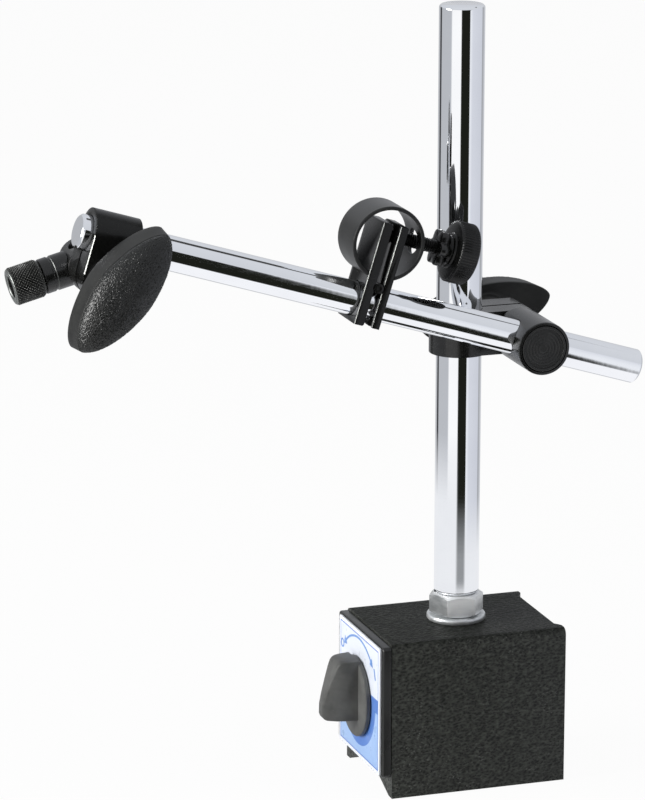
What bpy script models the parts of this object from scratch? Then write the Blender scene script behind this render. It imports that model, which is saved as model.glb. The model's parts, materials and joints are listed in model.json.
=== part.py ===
# Magnetic base stand: switchable block, column, cross clamp, sloping cross arm, dovetail holder
# and an arm-end clamp with a swivel head.  Blender 4.5, metres, +Z up, sole at z = 0.
# The column is vertical.  The block's long side runs along X with the switch at -X; front is -Y,
# and the cross arm passes in front of the column.
#
# Sizes are in mm.  Pieces hang on three frames:
#   base   column axis at x = y = 0, sole at z = 0
#   swung  the base frame turned about the column
#   arm    origin where the clamp bolt meets the arm, X along the arm
import math
import bpy
import bmesh
from mathutils import Matrix, Vector

MM = 0.001
SIDES = 36                   # sides of a round piece
SIDES_MID = 24               # of one that is mostly hidden
SIDES_SMALL = 16             # of a small or hidden one
SIDES_TINY = 12              # of the cover screws and their tapped holes
THROUGH = 30.0               # half length of a cutter that runs right through its piece
ORIGIN = (0, 0, 0)

# ---- magnetic base ---------------------------------------------------------------------------
BLOCK_L, BLOCK_W, BLOCK_H = 65.0, 49.0, 56.5     # along X, Y, Z
END_FACE = BLOCK_L / 2       # x of the block's +X end
EDGE_R = 2.4                 # rounding of the block's long top edges
DIV_T = 1.0                  # divider strip between the poles
DIV_GAP = 0.05
BORE_R, BORE_Z = 16.2, 31.2  # rotor bore along X
BORE_END = 25.5              # its blind end
VEE_HALF, VEE_DEPTH = 21.0, 8.0                  # wide V in the sole
VEE_FLAT = 0.6               # half width of the V's flat top
RECESS_D = 1.9               # shallow channel down the +X end face
RECESS_OUTER, RECESS_INNER = 20.3, 17.6          # its half width at the face and at its floor
DIV_TRIM = 0.5               # strip's clearance from the bore's level beyond the blind end

COVER_IN, COVER_OUT = -32.8, -35.95
COVER_Y, COVER_Z0, COVER_Z1 = 24.1, 7.6, 55.7
COVER_CORNER = 1.1
PLATE_X = (-36.75, -36.05)
PLATE_Y, PLATE_Z = (-22.8, 20.8), (8.4, 55.2)
SHAFT_HOLE_R = 6.3           # in the cover and the label plate
SCREW_POS = [(-19.0, 14.0), (19.0, 14.0), (-19.0, 50.0), (19.0, 50.0)]    # cover screws, (y, z)

SWITCH = (0, 0, BORE_Z)
ROTOR_R, ROTOR_HOLE_R, ROTOR_X0, ROTOR_X1 = 15.7, 4.2, -31.6, 24.9
ROTOR_SLOT_Y, ROTOR_SLOT_HALF = 10.5, 1.5        # floor and half width of the side slots
DISC_R, DISC_IN, DISC_OUT = 14.5, -37.0, -38.9   # disc of the switch knob
GRIP_HALF = 9.0

# Side outline of the switch grip: (x, z above the rotor axis)
GRIP_SIDE = [
    (-38.2, -7.6), (-49.4, -7.6), (-50.4, -7.0), (-51.0, -5.6), (-50.9, -2.0), (-49.9, 2.0),
    (-48.3, 7.0), (-46.9, 11.0), (-46.0, 13.0), (-45.2, 13.9), (-44.0, 14.3), (-38.2, 14.6),
]
# Plan of the switch grip: (x, half width), from the disc outwards
GRIP_PLAN = [(-37.5, 6.2), (-42.5, 5.7), (-46.2, 4.7), (-49.4, 2.9), (-52.4, 1.1)]
# Switch shaft: (radius, x)
SHAFT = [(0, 20), (3.95, 20), (3.95, -31.9), (5.9, -32.1), (5.9, -36.3), (3.9, -36.7),
         (3.9, -44.6), (0, -44.6)]

# ---- column ----------------------------------------------------------------------------------
COL_R, COL_Z0, COL_Z1 = 8.0, 66.7, 277.35
STUD_R, STUD_Z0 = 4.9, 49.1
STUD_FIT = 0.3
NUT_AF, NUT_Z0, NUT_Z1 = 17.0, 58.8, 66.4
NUT_CONE_R0, NUT_CONE_R1, NUT_CONE_H = 8.2, 10.4, 1.25    # cones that chamfer the corners
NUT_TURN = -8.2
WASH_R, WASH_Z0, WASH_Z1 = 10.5, 56.6, 58.55

# ---- cross clamp (swung frame) ---------------------------------------------------------------
SWING = 0.2                  # degrees, swing of the clamp about the column
TILT = 17.25                 # degrees, the arm's slope
BOLT_X, BOLT_Z = 18.8, 161.67
BOLT = (BOLT_X, 0, BOLT_Z)
BOLT_R, BOLT_HOLE_R = 4.0, 4.35
ARM_Y = -22.0                # arm axis in front of the column axis
BOSS_R = 10.55
JAW_Y = 9.2
SLIT = 0.6                   # half width of the slit in either clamp
CLAMP_SPAN = (BOLT_Z - 7.2, BOLT_Z + 8.2)
SLEEVE_R = 9.35
FRONT_GAP, REAR_GAP = 10.6, 12.4                 # from a clamp's cheek to its knob's wing

# ---- arm, and the sleeve round it (arm frame) ------------------------------------------------
ARM_R, ARM_X0, ARM_X1 = 6.0, -170.7, 41.0
ARM_HOLE_R = ARM_R + 0.2
SLEEVE_REAR = -JAW_Y - 0.3 - ARM_Y
SLEEVE_FRONT = -12.0
EYE_R = 8.0

# ---- wing knobs ------------------------------------------------------------------------------
KNOB_A, KNOB_B = 24.7, 10.5                      # half length and half width of the wing
KNOB_WALL, KNOB_DOME = 10.6, 6.5
KNOB_POW = 1.67              # superellipse power of the wing's outline
KNOB_DRAFT = 0.965           # the wing narrows a little from its jaw side to its dome
KNOB_POINTS = 28
FRONT_KNOB_TURN, REAR_KNOB_TURN = 67.8, 11.3     # degrees

# ---- dovetail holder (arm frame) -------------------------------------------------------------
JAW_LEFT, JAW_RIGHT = (-69.0, -65.5), (-62.5, -59.6)      # x spans
HOLDER_Y, HOLDER_Z = (-8.0, 8.8), (-7.6, 28.5)
RING_X, RING_Z = -65.0, 21.8
RING_R, RING_WALL, RING_Y0, RING_Y1 = 13.0, 1.3, -7.9, 8.2
PIN_R, PIN_Z = 1.8, 6.2
PIN_AT = ((JAW_LEFT[1] + JAW_RIGHT[0]) / 2, 0, PIN_Z)
SCREW_Z, SCREW_R, SCREW_HOLE_R = 23.8, 2.4, 2.7
NUT_HOLE_R = 2.65            # hole in the lock nut and the thumb knob
LOCK_X0, LOCK_X1 = -45.4, -42.2                  # lobed lock nut
RIM_X0, RIM_X1 = -39.6, -33.3                    # rim of the thumb knob
THUMB = (RIM_X0, 0, SCREW_Z)
SCREW_LINE = (0, 0, SCREW_Z)

# ---- arm-end clamp (arm frame) ---------------------------------------------------------------
END_X, END_Z = -158.9, -12.5
END_BOLT = (END_X, 0, END_Z)
END_W = 8.25                 # half width, and the radius of the jaw ends
END_R = 8.8
END_HOLE_R, END_WASHER_HOLE_R = 3.25, 3.3
HEAD_R, HEAD_Y0, HEAD_Y1 = 7.5, 11.6, 25.4
HEAD = (END_X, (HEAD_Y0 + HEAD_Y1) / 2, END_Z)
HEAD_SIDES, STEM_SIDES = 32, 28
HEAD_BOLT_R = 2.9
STEM_BORE_R = 4.05
STEM_DIR = Vector((-0.848, 0, -0.529)).normalized()
STEM_HOLE_R = 2.7            # in the collar and the nut
# Collar and nut on the stem stud: (radius, distance along the stud)
COLLAR = [(STEM_HOLE_R, 15.6), (5.7, 15.6), (6.1, 15.2), (6.1, 12.4), (5.75, 12.1),
          (5.75, 11.5), (6.1, 11.2), (6.1, 6.0), (STEM_HOLE_R, 6.0)]
STEM_NUT = [(3.9, 26.8), (5.9, 26.8), (6.65, 26.1), (6.65, 16.8), (6.0, 15.9),
            (STEM_HOLE_R, 15.9), (STEM_HOLE_R, 24.6), (3.9, 24.8)]

# ---- materials: name: (base colour, roughness, metallic) -------------------------------------
MATERIALS = {
    "wrinkle_paint": ((0.022, 0.022, 0.024), 0.55, 0.0),
    "chrome": ((0.80, 0.81, 0.84), 0.08, 1.0),
    "zinc": ((0.62, 0.62, 0.60), 0.35, 1.0),
    "black_oxide": ((0.030, 0.030, 0.032), 0.42, 0.6),
    "knob_plastic": ((0.020, 0.020, 0.021), 0.50, 0.0),
    "switch_plastic": ((0.060, 0.062, 0.065), 0.50, 0.0),
    "cover_black": ((0.018, 0.018, 0.019), 0.40, 0.0),
    "label": ((0.30, 0.50, 0.80), 0.35, 0.0),
    "brass": ((0.75, 0.56, 0.24), 0.30, 1.0),
    "magnet": ((0.10, 0.10, 0.11), 0.60, 0.3),
}

for old in list(bpy.data.objects):
    bpy.data.objects.remove(old, do_unlink=True)
parts = bpy.data.collections.new("magnetic_base_stand")
bpy.context.scene.collection.children.link(parts)


def make_material(name, colour, roughness, metallic):
    mat = bpy.data.materials.new(name)
    mat.use_nodes = True
    shader = mat.node_tree.nodes["Principled BSDF"]
    shader.inputs["Base Color"].default_value = (*colour, 1.0)
    shader.inputs["Roughness"].default_value = roughness
    shader.inputs["Metallic"].default_value = metallic
    mat.diffuse_color = (*colour, 1.0)
    return mat


def make_frame(name, parent=None, at=ORIGIN, turn=ORIGIN):
    # an empty; turn is in degrees about X, Y and Z
    frame = bpy.data.objects.new(name, None)
    parts.objects.link(frame)
    frame.parent = parent
    frame.location = Vector(at) * MM
    frame.rotation_euler = [math.radians(angle) for angle in turn]
    return frame


materials = {name: make_material(name, *look) for name, look in MATERIALS.items()}
base_frame = make_frame("frame_base")
swung_frame = make_frame("frame_swung", base_frame, turn=(0, 0, SWING))
arm_frame = make_frame("frame_arm", swung_frame, (BOLT_X, ARM_Y, BOLT_Z), (0, TILT, 0))


# ---- mesh helpers ----------------------------------------------------------------------------
def new_object(name, bm):
    mesh = bpy.data.meshes.new(name)
    bm.to_mesh(mesh)
    bm.free()
    ob = bpy.data.objects.new(name, mesh)
    parts.objects.link(ob)
    return ob


def evaluated_mesh(ob):
    depsgraph = bpy.context.evaluated_depsgraph_get()
    depsgraph.update()
    return bpy.data.meshes.new_from_object(ob.evaluated_get(depsgraph))


def apply_modifiers(ob):
    mesh = evaluated_mesh(ob)
    bm = bmesh.new()
    bm.from_mesh(mesh)
    bmesh.ops.remove_doubles(bm, verts=bm.verts, dist=1e-6)
    bmesh.ops.dissolve_degenerate(bm, edges=bm.edges, dist=1e-6)
    bmesh.ops.recalc_face_normals(bm, faces=bm.faces)
    bm.to_mesh(mesh)
    bm.free()
    ob.modifiers.clear()
    ob.data = mesh


AXIS_ROT = {
    'Z': Matrix.Identity(4),
    'X': Matrix.Rotation(math.radians(90), 4, 'Y'),
    'Y': Matrix.Rotation(math.radians(-90), 4, 'X'),
}


def along(axis, at=ORIGIN):
    # places a turned piece on a line through `at`, its heights measured from there
    return Matrix.Translation(Vector(at) * MM) @ AXIS_ROT[axis]


def turned(name, profile, place=AXIS_ROT['Z'], sides=SIDES, closed=False):
    # profile: (radius, height) pairs, spun about Z and then moved by `place`
    bm = bmesh.new()
    verts = [bm.verts.new((radius * MM, 0, height * MM)) for radius, height in profile]
    for pair in zip(verts, verts[1:]):
        bm.edges.new(pair)
    if closed:
        bm.edges.new((verts[-1], verts[0]))
    ob = new_object(name, bm)
    screw = ob.modifiers.new("screw", 'SCREW')
    screw.angle = math.tau
    screw.steps = sides
    screw.render_steps = sides
    screw.axis = 'Z'
    screw.use_merge_vertices = True
    screw.merge_threshold = 1e-6
    screw.use_normal_calculate = True
    apply_modifiers(ob)
    ob.data.transform(place)
    return ob


def rim(radius, start, end, chamfer):
    # outer side of a profile, from its end to its start
    if chamfer == 0:
        return [(radius, end), (radius, start)]
    return [(radius - chamfer, end), (radius, end - chamfer),
            (radius, start + chamfer), (radius - chamfer, start)]


def cylinder(name, radius, start, end, place=AXIS_ROT['Z'], sides=SIDES, chamfer=0):
    profile = [(0, end), *rim(radius, start, end, chamfer), (0, start)]
    return turned(name, profile, place, sides)


def ring(name, outer, inner, start, end, place=AXIS_ROT['Z'], sides=SIDES, chamfer=0):
    profile = [(inner, end), *rim(outer, start, end, chamfer), (inner, start)]
    return turned(name, profile, place, sides, closed=True)


def through(radius, place, sides=SIDES):
    # cutter for a hole right through a piece
    return cylinder("through", radius, -THROUGH, THROUGH, place, sides)


def box(name, x_span, y_span, z_span):
    bm = bmesh.new()
    bmesh.ops.create_cube(bm, size=1.0)
    for vert in bm.verts:
        vert.co = Vector([(low + high) / 2 + unit * (high - low)
                          for unit, (low, high) in zip(vert.co, (x_span, y_span, z_span))]) * MM
    return new_object(name, bm)


def prism(name, outline, start, end, axis):
    # a filled outline given depth along an axis; its points are (y, z) for axis X, (x, z) for
    # axis Y and (x, y) for axis Z
    curve = bpy.data.curves.new(name, 'CURVE')
    curve.dimensions = '2D'
    curve.fill_mode = 'BOTH'
    curve.extrude = abs(end - start) / 2 * MM
    spline = curve.splines.new('POLY')
    spline.points.add(len(outline) - 1)
    for point, (u, v) in zip(spline.points, outline):
        point.co = (u * MM, v * MM, 0, 1)
    spline.use_cyclic_u = True
    flat = bpy.data.objects.new(name + "_outline", curve)
    parts.objects.link(flat)
    mesh = evaluated_mesh(flat)
    bpy.data.objects.remove(flat, do_unlink=True)
    bm = bmesh.new()
    bm.from_mesh(mesh)
    bmesh.ops.remove_doubles(bm, verts=bm.verts, dist=1e-6)
    middle = (start + end) / 2 * MM
    for vert in bm.verts:
        u, v, depth = vert.co
        if axis == 'X':
            vert.co = (middle + depth, u, v)
        elif axis == 'Y':
            vert.co = (u, middle + depth, v)
        else:
            vert.co = (u, v, middle + depth)
    bmesh.ops.recalc_face_normals(bm, faces=bm.faces)
    return new_object(name, bm)


def bevel(ob, width, segments, keep):
    # rounds the edges that keep(a, b) picks by their end points in mm
    bm = bmesh.new()
    bm.from_mesh(ob.data)
    weight = bm.edges.layers.float.new('bevel_weight_edge')
    for edge in bm.edges:
        a, b = (vert.co / MM for vert in edge.verts)
        edge[weight] = 1.0 if keep(a, b) else 0.0
    bm.to_mesh(ob.data)
    bm.free()
    mod = ob.modifiers.new("bevel", 'BEVEL')
    mod.width = width * MM
    mod.segments = segments
    mod.limit_method = 'WEIGHT'
    apply_modifiers(ob)


def runs_along_x(a, b):
    return abs(a.x - b.x) > 0.1


def combine(ob, tools, operation):
    # applies each tool in turn and uses it up
    for tool in tools:
        mod = ob.modifiers.new("bool", 'BOOLEAN')
        mod.operation = operation
        mod.solver = 'EXACT'
        mod.object = tool
        apply_modifiers(ob)
        bpy.data.objects.remove(tool, do_unlink=True)


def cut(ob, *tools):
    combine(ob, tools, 'DIFFERENCE')


def join(ob, *tools):
    combine(ob, tools, 'UNION')


def intersect(ob, *tools):
    combine(ob, tools, 'INTERSECT')


def shade(ob, sharp_angle):
    # smooth shading, with edges steeper than sharp_angle (degrees) kept sharp
    bm = bmesh.new()
    bm.from_mesh(ob.data)
    for face in bm.faces:
        face.smooth = True
    for edge in bm.edges:
        if len(edge.link_faces) == 2 and edge.calc_face_angle(0.0) > math.radians(sharp_angle):
            edge.smooth = False
    bm.to_mesh(ob.data)
    bm.free()


def finish(ob, material, frame, origin=ORIGIN, sharp_angle=32):
    # moves the object's origin, then gives it its parent, material and shading
    offset = Vector(origin) * MM
    ob.data.transform(Matrix.Translation(-offset))
    ob.parent = frame
    ob.location = offset
    ob.data.materials.clear()
    ob.data.materials.append(materials[material])
    shade(ob, sharp_angle)


# ---- magnetic base ---------------------------------------------------------------------------
def rotor_bore():
    return cylinder("rotor_bore", BORE_R, -40, BORE_END, along('X', SWITCH), SIDES_MID)


def stud_hole():
    return cylinder("stud_hole", STUD_R + STUD_FIT, STUD_Z0 - 0.5, 60, sides=SIDES_MID)


def make_pole(name, side):
    # side is -1 for the front half of the block, 1 for the rear half
    outer_y = side * BLOCK_W / 2
    pole = box(name, (-END_FACE, END_FACE), sorted((side * (DIV_T / 2 + DIV_GAP), outer_y)),
               (0, BLOCK_H))
    bevel(pole, EDGE_R, 4, lambda *ends: all(
        abs(p.z - BLOCK_H) < 0.01 and abs(p.y - outer_y) < 0.01 for p in ends))

    # the channel runs a little past the parting plane, so that the cut is clean
    past = -side * 2
    floor = END_FACE - RECESS_D
    channel = [(END_FACE + 2, past), (END_FACE + 2, side * RECESS_OUTER),
               (END_FACE, side * RECESS_OUTER), (floor, side * RECESS_INNER), (floor, past)]
    # the V's slopes are carried on 1 mm below the sole
    vee_foot = VEE_HALF * (1 + 1 / VEE_DEPTH)
    vee = [(-vee_foot, -1.0), (vee_foot, -1.0), (VEE_FLAT, VEE_DEPTH), (-VEE_FLAT, VEE_DEPTH)]
    cut(pole,
        prism("channel", channel, -2, BLOCK_H + 2, 'Z'),
        rotor_bore(),
        prism("vee", vee, -50, 50, 'X'),
        stud_hole())
    for y, z in SCREW_POS:
        if y * side > 0:
            cut(pole, cylinder("tap", 1.7, -END_FACE - 1, -END_FACE + 9, along('X', (0, y, z)),
                               SIDES_TINY))
    finish(pole, "wrinkle_paint", base_frame)


def make_divider(name, z_span, trim_z_span, *holes):
    strip = box(name, (-END_FACE, END_FACE - RECESS_D), (-DIV_T / 2, DIV_T / 2), z_span)
    # beyond the bore's blind end the strip keeps clear of the bore's level
    trim = box("trim", (BORE_END - 0.01, END_FACE + 1), (-2, 2), trim_z_span)
    cut(strip, *holes, trim)
    finish(strip, "brass", base_frame)


def make_cover():
    y, z0, z1, corner = COVER_Y, COVER_Z0, COVER_Z1, COVER_CORNER
    outline = [(-y, z0 + corner), (-y + corner, z0), (y - corner, z0), (y, z0 + corner),
               (y, z1 - corner), (y - corner, z1), (-y + corner, z1), (-y, z1 - corner)]
    cover = prism("end_cover", outline, COVER_OUT, COVER_IN, 'X')
    bevel(cover, 0.5, 2, lambda *ends: all(abs(p.x - COVER_OUT) < 0.01 for p in ends))
    # countersunk hole: (radius, x)
    sink = [(0, -30), (1.75, -30), (1.75, COVER_OUT + 1.8), (3.4, COVER_OUT), (3.4, -38),
            (0, -38)]
    cut(cover, through(SHAFT_HOLE_R, along('X', (COVER_OUT, 0, BORE_Z))),
        *[turned("sink", sink, along('X', (0, *pos)), SIDES_SMALL) for pos in SCREW_POS])
    finish(cover, "cover_black", base_frame)


def make_cover_screws():
    face = COVER_OUT + 0.12
    profile = [(0, -END_FACE + 7), (1.4, -END_FACE + 7), (1.4, COVER_OUT + 2.0),
               (2.95, COVER_OUT + 0.35), (2.95, face), (1.1, face), (0, COVER_OUT + 0.9)]
    for number, pos in enumerate(SCREW_POS, 1):
        screw = turned(f"cover_screw_{number}", profile, along('X', (0, *pos)), SIDES_TINY)
        finish(screw, "zinc", base_frame)


def make_label_plate():
    plate = box("label_plate", PLATE_X, PLATE_Y, PLATE_Z)
    bevel(plate, 1.2, 3, runs_along_x)
    cut(plate, through(SHAFT_HOLE_R, along('X', (COVER_OUT, 0, BORE_Z))))
    finish(plate, "label", base_frame)


def make_rotor():
    rotor = ring("magnet_rotor", ROTOR_R, ROTOR_HOLE_R, ROTOR_X0, ROTOR_X1, along('X', SWITCH),
                 SIDES_MID)
    for y_span in ((ROTOR_SLOT_Y, 20), (-20, -ROTOR_SLOT_Y)):
        cut(rotor, box("slot", (-33, 26), y_span,
                       (BORE_Z - ROTOR_SLOT_HALF, BORE_Z + ROTOR_SLOT_HALF)))
    finish(rotor, "magnet", base_frame, SWITCH)


def make_switch():
    shaft = turned("switch_shaft", SHAFT, along('X', SWITCH), SIDES_SMALL)
    finish(shaft, "brass", base_frame, SWITCH)

    knob = cylinder("switch_knob", DISC_R, DISC_OUT, DISC_IN, along('X', SWITCH), chamfer=0.5)
    grip = prism("grip", GRIP_SIDE, -GRIP_HALF, GRIP_HALF, 'Y')
    plan = [(x, -half) for x, half in GRIP_PLAN] + GRIP_PLAN[::-1]
    intersect(grip, prism("grip_plan", plan, -THROUGH, THROUGH, 'Z'))
    grip.data.transform(Matrix.Translation((0, 0, BORE_Z * MM)))
    join(knob, grip)
    cut(knob, cylinder("shaft_hole", 4.15, -45.1, -36, along('X', SWITCH), SIDES_SMALL))
    finish(knob, "switch_plastic", base_frame, SWITCH, sharp_angle=24)


# ---- column ----------------------------------------------------------------------------------
def make_column():
    column = turned("column", [
        (0, COL_Z1), (COL_R - 0.7, COL_Z1), (COL_R, COL_Z1 - 0.7),
        (COL_R, COL_Z0 + 0.8), (COL_R - 0.8, COL_Z0), (STUD_R, COL_Z0),
        (STUD_R, STUD_Z0 + 0.8), (STUD_R - 0.8, STUD_Z0), (0, STUD_Z0)])
    finish(column, "chrome", base_frame)


def make_hex_nut():
    nut = cylinder("hex_nut", NUT_AF / 2 / math.cos(math.pi / 6), NUT_Z0, NUT_Z1, sides=6)
    top, bottom = NUT_Z1 + 0.01, NUT_Z0 - 0.01
    intersect(nut, turned("nut_cone", [
        (0, top), (NUT_CONE_R0, top), (NUT_CONE_R1, NUT_Z1 - NUT_CONE_H),
        (NUT_CONE_R1, NUT_Z0 + NUT_CONE_H), (NUT_CONE_R0, bottom), (0, bottom)], sides=48))
    cut(nut, through(STUD_R + STUD_FIT, along('Z', (0, 0, NUT_Z0)), SIDES_MID))
    nut.data.transform(Matrix.Rotation(math.radians(NUT_TURN), 4, 'Z'))
    finish(nut, "zinc", base_frame, sharp_angle=20)


def make_washer():
    washer = ring("washer", WASH_R, STUD_R + 0.35, WASH_Z0, WASH_Z1, chamfer=0.35)
    finish(washer, "zinc", base_frame)


# ---- cross clamp -----------------------------------------------------------------------------
def make_cross_clamp():
    clamp = cylinder("clamp_block", BOSS_R, *CLAMP_SPAN)
    jaws = box("jaws", (0, BOLT_X), (-JAW_Y, JAW_Y), CLAMP_SPAN)
    jaw_end = cylinder("jaw_end", SLEEVE_R, -JAW_Y, JAW_Y, along('Y', BOLT))
    # the rounded jaw end is flattened to the block's top and bottom
    intersect(jaw_end, box("jaw_end_trim", (-5, 40), (-20, 20), CLAMP_SPAN))
    join(jaws, jaw_end)
    join(clamp, jaws)
    cut(clamp,
        through(COL_R + 0.15, along('Z', (0, 0, BOLT_Z))),
        box("slit", (5.0, 40), (-SLIT, SLIT), (BOLT_Z - THROUGH, BOLT_Z + THROUGH)),
        through(BOLT_HOLE_R, along('Y', BOLT), SIDES_MID))
    finish(clamp, "black_oxide", swung_frame)


def make_flat_washer(name, frame, at, outer, inner, start, end):
    washer = ring(name, outer, inner, start, end, along('Y', at), SIDES_MID)
    finish(washer, "zinc", frame, at)


# ---- sleeve, eye bolt and cap, on the clamp bolt's axis --------------------------------------
def make_sleeve():
    rear, front = SLEEVE_REAR, SLEEVE_FRONT
    wall_r, seat = 8.35, rear - 3.2
    sleeve = turned("arm_sleeve", [
        (4.4, rear), (SLEEVE_R - 0.5, rear), (SLEEVE_R, rear - 0.5), (SLEEVE_R, front + 0.5),
        (SLEEVE_R - 0.45, front), (wall_r, front), (wall_r, seat), (4.4, seat)],
        along('Y'), closed=True)
    cut(sleeve, through(ARM_HOLE_R, along('X')))
    finish(sleeve, "black_oxide", arm_frame)


def make_eye_bolt():
    bolt_end = JAW_Y + REAR_GAP + 11.0 - ARM_Y
    shoulder = SLEEVE_REAR - 3.5
    front = SLEEVE_FRONT + 2.8
    eye = turned("eye_bolt", [
        (0, bolt_end), (BOLT_R, bolt_end), (BOLT_R, shoulder), (EYE_R, shoulder),
        (EYE_R, front), (0, front)], along('Y'), SIDES_MID)
    cut(eye, through(ARM_HOLE_R, along('X'), SIDES_MID))
    finish(eye, "zinc", arm_frame)


def make_sleeve_cap():
    front = SLEEVE_FRONT
    cap = turned("sleeve_end_cap", [
        (0, front + 2.5), (8.1, front + 2.5), (8.1, front + 0.35), (7.75, front),
        (6.9, front), (6.7, front + 0.25), (0, front + 0.25)], along('Y'))
    finish(cap, "cover_black", arm_frame)


# ---- wing knobs ------------------------------------------------------------------------------
def superellipse(count, half_length, half_width, power):
    points = []
    for i in range(count):
        c, s = math.cos(math.tau * i / count), math.sin(math.tau * i / count)
        points.append((half_length * math.copysign(abs(c) ** (2 / power), c),
                       half_width * math.copysign(abs(s) ** (2 / power), s)))
    return points


def wing_levels(gap):
    # (length scale, width scale, height above the seat, power), from the seat to the dome
    dome = gap + KNOB_WALL
    mid_scale = (1 + KNOB_DRAFT) / 2
    levels = [
        (0.30, 0.50, gap - 2.6, 2.0),
        (0.72, 0.78, gap - 0.4, 1.8),
        (0.96, 0.955, gap, KNOB_POW),
        (1.0, 1.0, gap + 0.8, KNOB_POW),
        (mid_scale, mid_scale, gap + KNOB_WALL * 0.5, KNOB_POW),
        (KNOB_DRAFT, KNOB_DRAFT, dome, KNOB_POW),
    ]
    for k in (0.25, 0.5, 0.72, 0.9):
        scale = KNOB_DRAFT * math.sqrt(1 - k ** 2) * 0.985
        levels.append((scale, scale, dome + KNOB_DOME * k, KNOB_POW + 0.3 * k))
    return levels


def wing(name, at, direction, turn, gap):
    # a loft through the levels, closed by a fan at the dome's tip
    bm = bmesh.new()
    bmesh.ops.create_circle(bm, cap_ends=True, segments=KNOB_POINTS, radius=1.0)
    loop = sorted(bm.verts, key=lambda vert: math.atan2(vert.co.y, vert.co.x) % math.tau)
    edges = list(bm.edges)
    rotation = Matrix.Rotation(math.radians(-turn), 4, 'Y')

    def shape_loop(length_scale, width_scale, height, power):
        outline = superellipse(KNOB_POINTS, KNOB_A * length_scale, KNOB_B * width_scale, power)
        for vert, (u, w) in zip(loop, outline):
            point = rotation @ Vector((u, 0, w))
            vert.co = Vector((at[0] + point.x, at[1] + direction * height,
                              at[2] + point.z)) * MM

    first, *others = wing_levels(gap)
    shape_loop(*first)
    for level in others:
        made = bmesh.ops.extrude_edge_only(bm, edges=edges)['geom']
        new_verts = {g for g in made if isinstance(g, bmesh.types.BMVert)}
        edges = [g for g in made if isinstance(g, bmesh.types.BMEdge)
                 and g.verts[0] in new_verts and g.verts[1] in new_verts]
        # each vertex hands its place in the loop to the one extruded from it
        loop = [next(edge.other_vert(vert) for edge in vert.link_edges
                     if edge.other_vert(vert) in new_verts) for vert in loop]
        shape_loop(*level)
    tip_y = at[1] + direction * (gap + KNOB_WALL + KNOB_DOME)
    tip = bm.verts.new(Vector((at[0], tip_y, at[2])) * MM)
    for i in range(KNOB_POINTS):
        bm.faces.new((loop[i], loop[(i + 1) % KNOB_POINTS], tip))
    bmesh.ops.recalc_face_normals(bm, faces=bm.faces)
    return new_object(name, bm)


def make_wing_knob(name, frame, at, direction, turn, gap, insert_hole_r):
    # at: centre of the seat on the clamp's cheek; direction: +1 or -1 along Y;
    # turn: degrees, slope of the wing's long axis in XZ
    knob = wing(name, at, direction, turn, gap)
    place = along('Y', at)
    hub = [(0, gap + 2), (6.8, gap + 2), (6.8, 2.0), (6.4, 1.6), (0, 1.6)]
    join(knob, turned("hub", [(radius, direction * height) for radius, height in hub],
                      place, SIDES_MID))
    cut(knob, cylinder("insert_hole", 5.7, direction * 0.5, direction * (gap + 12.5),
                       place, SIDES_SMALL))
    finish(knob, "knob_plastic", frame, at, sharp_angle=40)
    insert = ring(name + "_insert", 5.4, insert_hole_r, direction * 1.9,
                  direction * (gap + 12.2), place, SIDES_SMALL)
    finish(insert, "brass", frame, at)


# ---- cross arm -------------------------------------------------------------------------------
def make_cross_arm():
    arm = cylinder("cross_arm", ARM_R, ARM_X0, ARM_X1, along('X'), chamfer=0.8)
    finish(arm, "chrome", arm_frame)


# ---- dovetail holder -------------------------------------------------------------------------
def make_holder_jaw(name, x_span, face_x, inward):
    # face_x is the face towards the other jaw, which lies in direction inward along X
    jaw = box(name, x_span, HOLDER_Y, HOLDER_Z)
    bevel(jaw, 2.6, 3,
          lambda a, b: runs_along_x(a, b) and a.z > HOLDER_Z[1] - 0.1 and a.y > 0)
    outside = face_x + inward
    front, foot = HOLDER_Y[0], HOLDER_Z[0]
    # dovetail groove down the face near its front edge, as (x, y)
    groove = [(outside, front + 0.9), (face_x - 0.275 * inward, front + 1.2),
              (face_x - 1.1 * inward, front + 3.8), (outside, front + 3.8)]
    # small notch at the foot of the face, as (x, z)
    notch = [(outside, foot - 1), (face_x - 1.21 * inward, foot - 1), (outside, foot + 1.8)]
    cut(jaw,
        through(ARM_HOLE_R, along('X', (RING_X, 0, 0))),
        cylinder("screw_hole", SCREW_HOLE_R, JAW_LEFT[0] + 0.9, -50, along('X', SCREW_LINE),
                 SIDES_SMALL),
        prism("groove", groove, -20, 60, 'Z'),
        prism("notch", notch, -20, 20, 'Y'),
        cylinder("pin_seat", PIN_R + 0.3, -9, -5.0, along('Y', PIN_AT), SIDES_SMALL))
    finish(jaw, "black_oxide", arm_frame)


def make_holder_pin():
    pin = cylinder("holder_pin", PIN_R, -8.4, -5.2, along('Y', PIN_AT), SIDES_SMALL)
    finish(pin, "black_oxide", arm_frame)


def make_holder_ring():
    band = ring("holder_ring", RING_R, RING_R - RING_WALL, RING_Y0, RING_Y1,
                along('Y', (RING_X, 0, RING_Z)), sides=44)
    # slot for the jaws at the bottom, hole for the thumb screw at +X
    cut(band,
        box("slot", (JAW_LEFT[0] - 0.3, JAW_RIGHT[1] + 0.3), (-10, 10), (5, RING_Z - 8.5)),
        cylinder("hole", 4.4, -58, -50, along('X', SCREW_LINE), SIDES_SMALL))
    finish(band, "black_oxide", arm_frame)


def make_thumb_screw():
    screw = cylinder("thumb_screw", SCREW_R, JAW_LEFT[0] + 1.2, RIM_X1 - 2.2,
                     along('X', SCREW_LINE), SIDES_SMALL)
    finish(screw, "black_oxide", arm_frame, THUMB)


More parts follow.
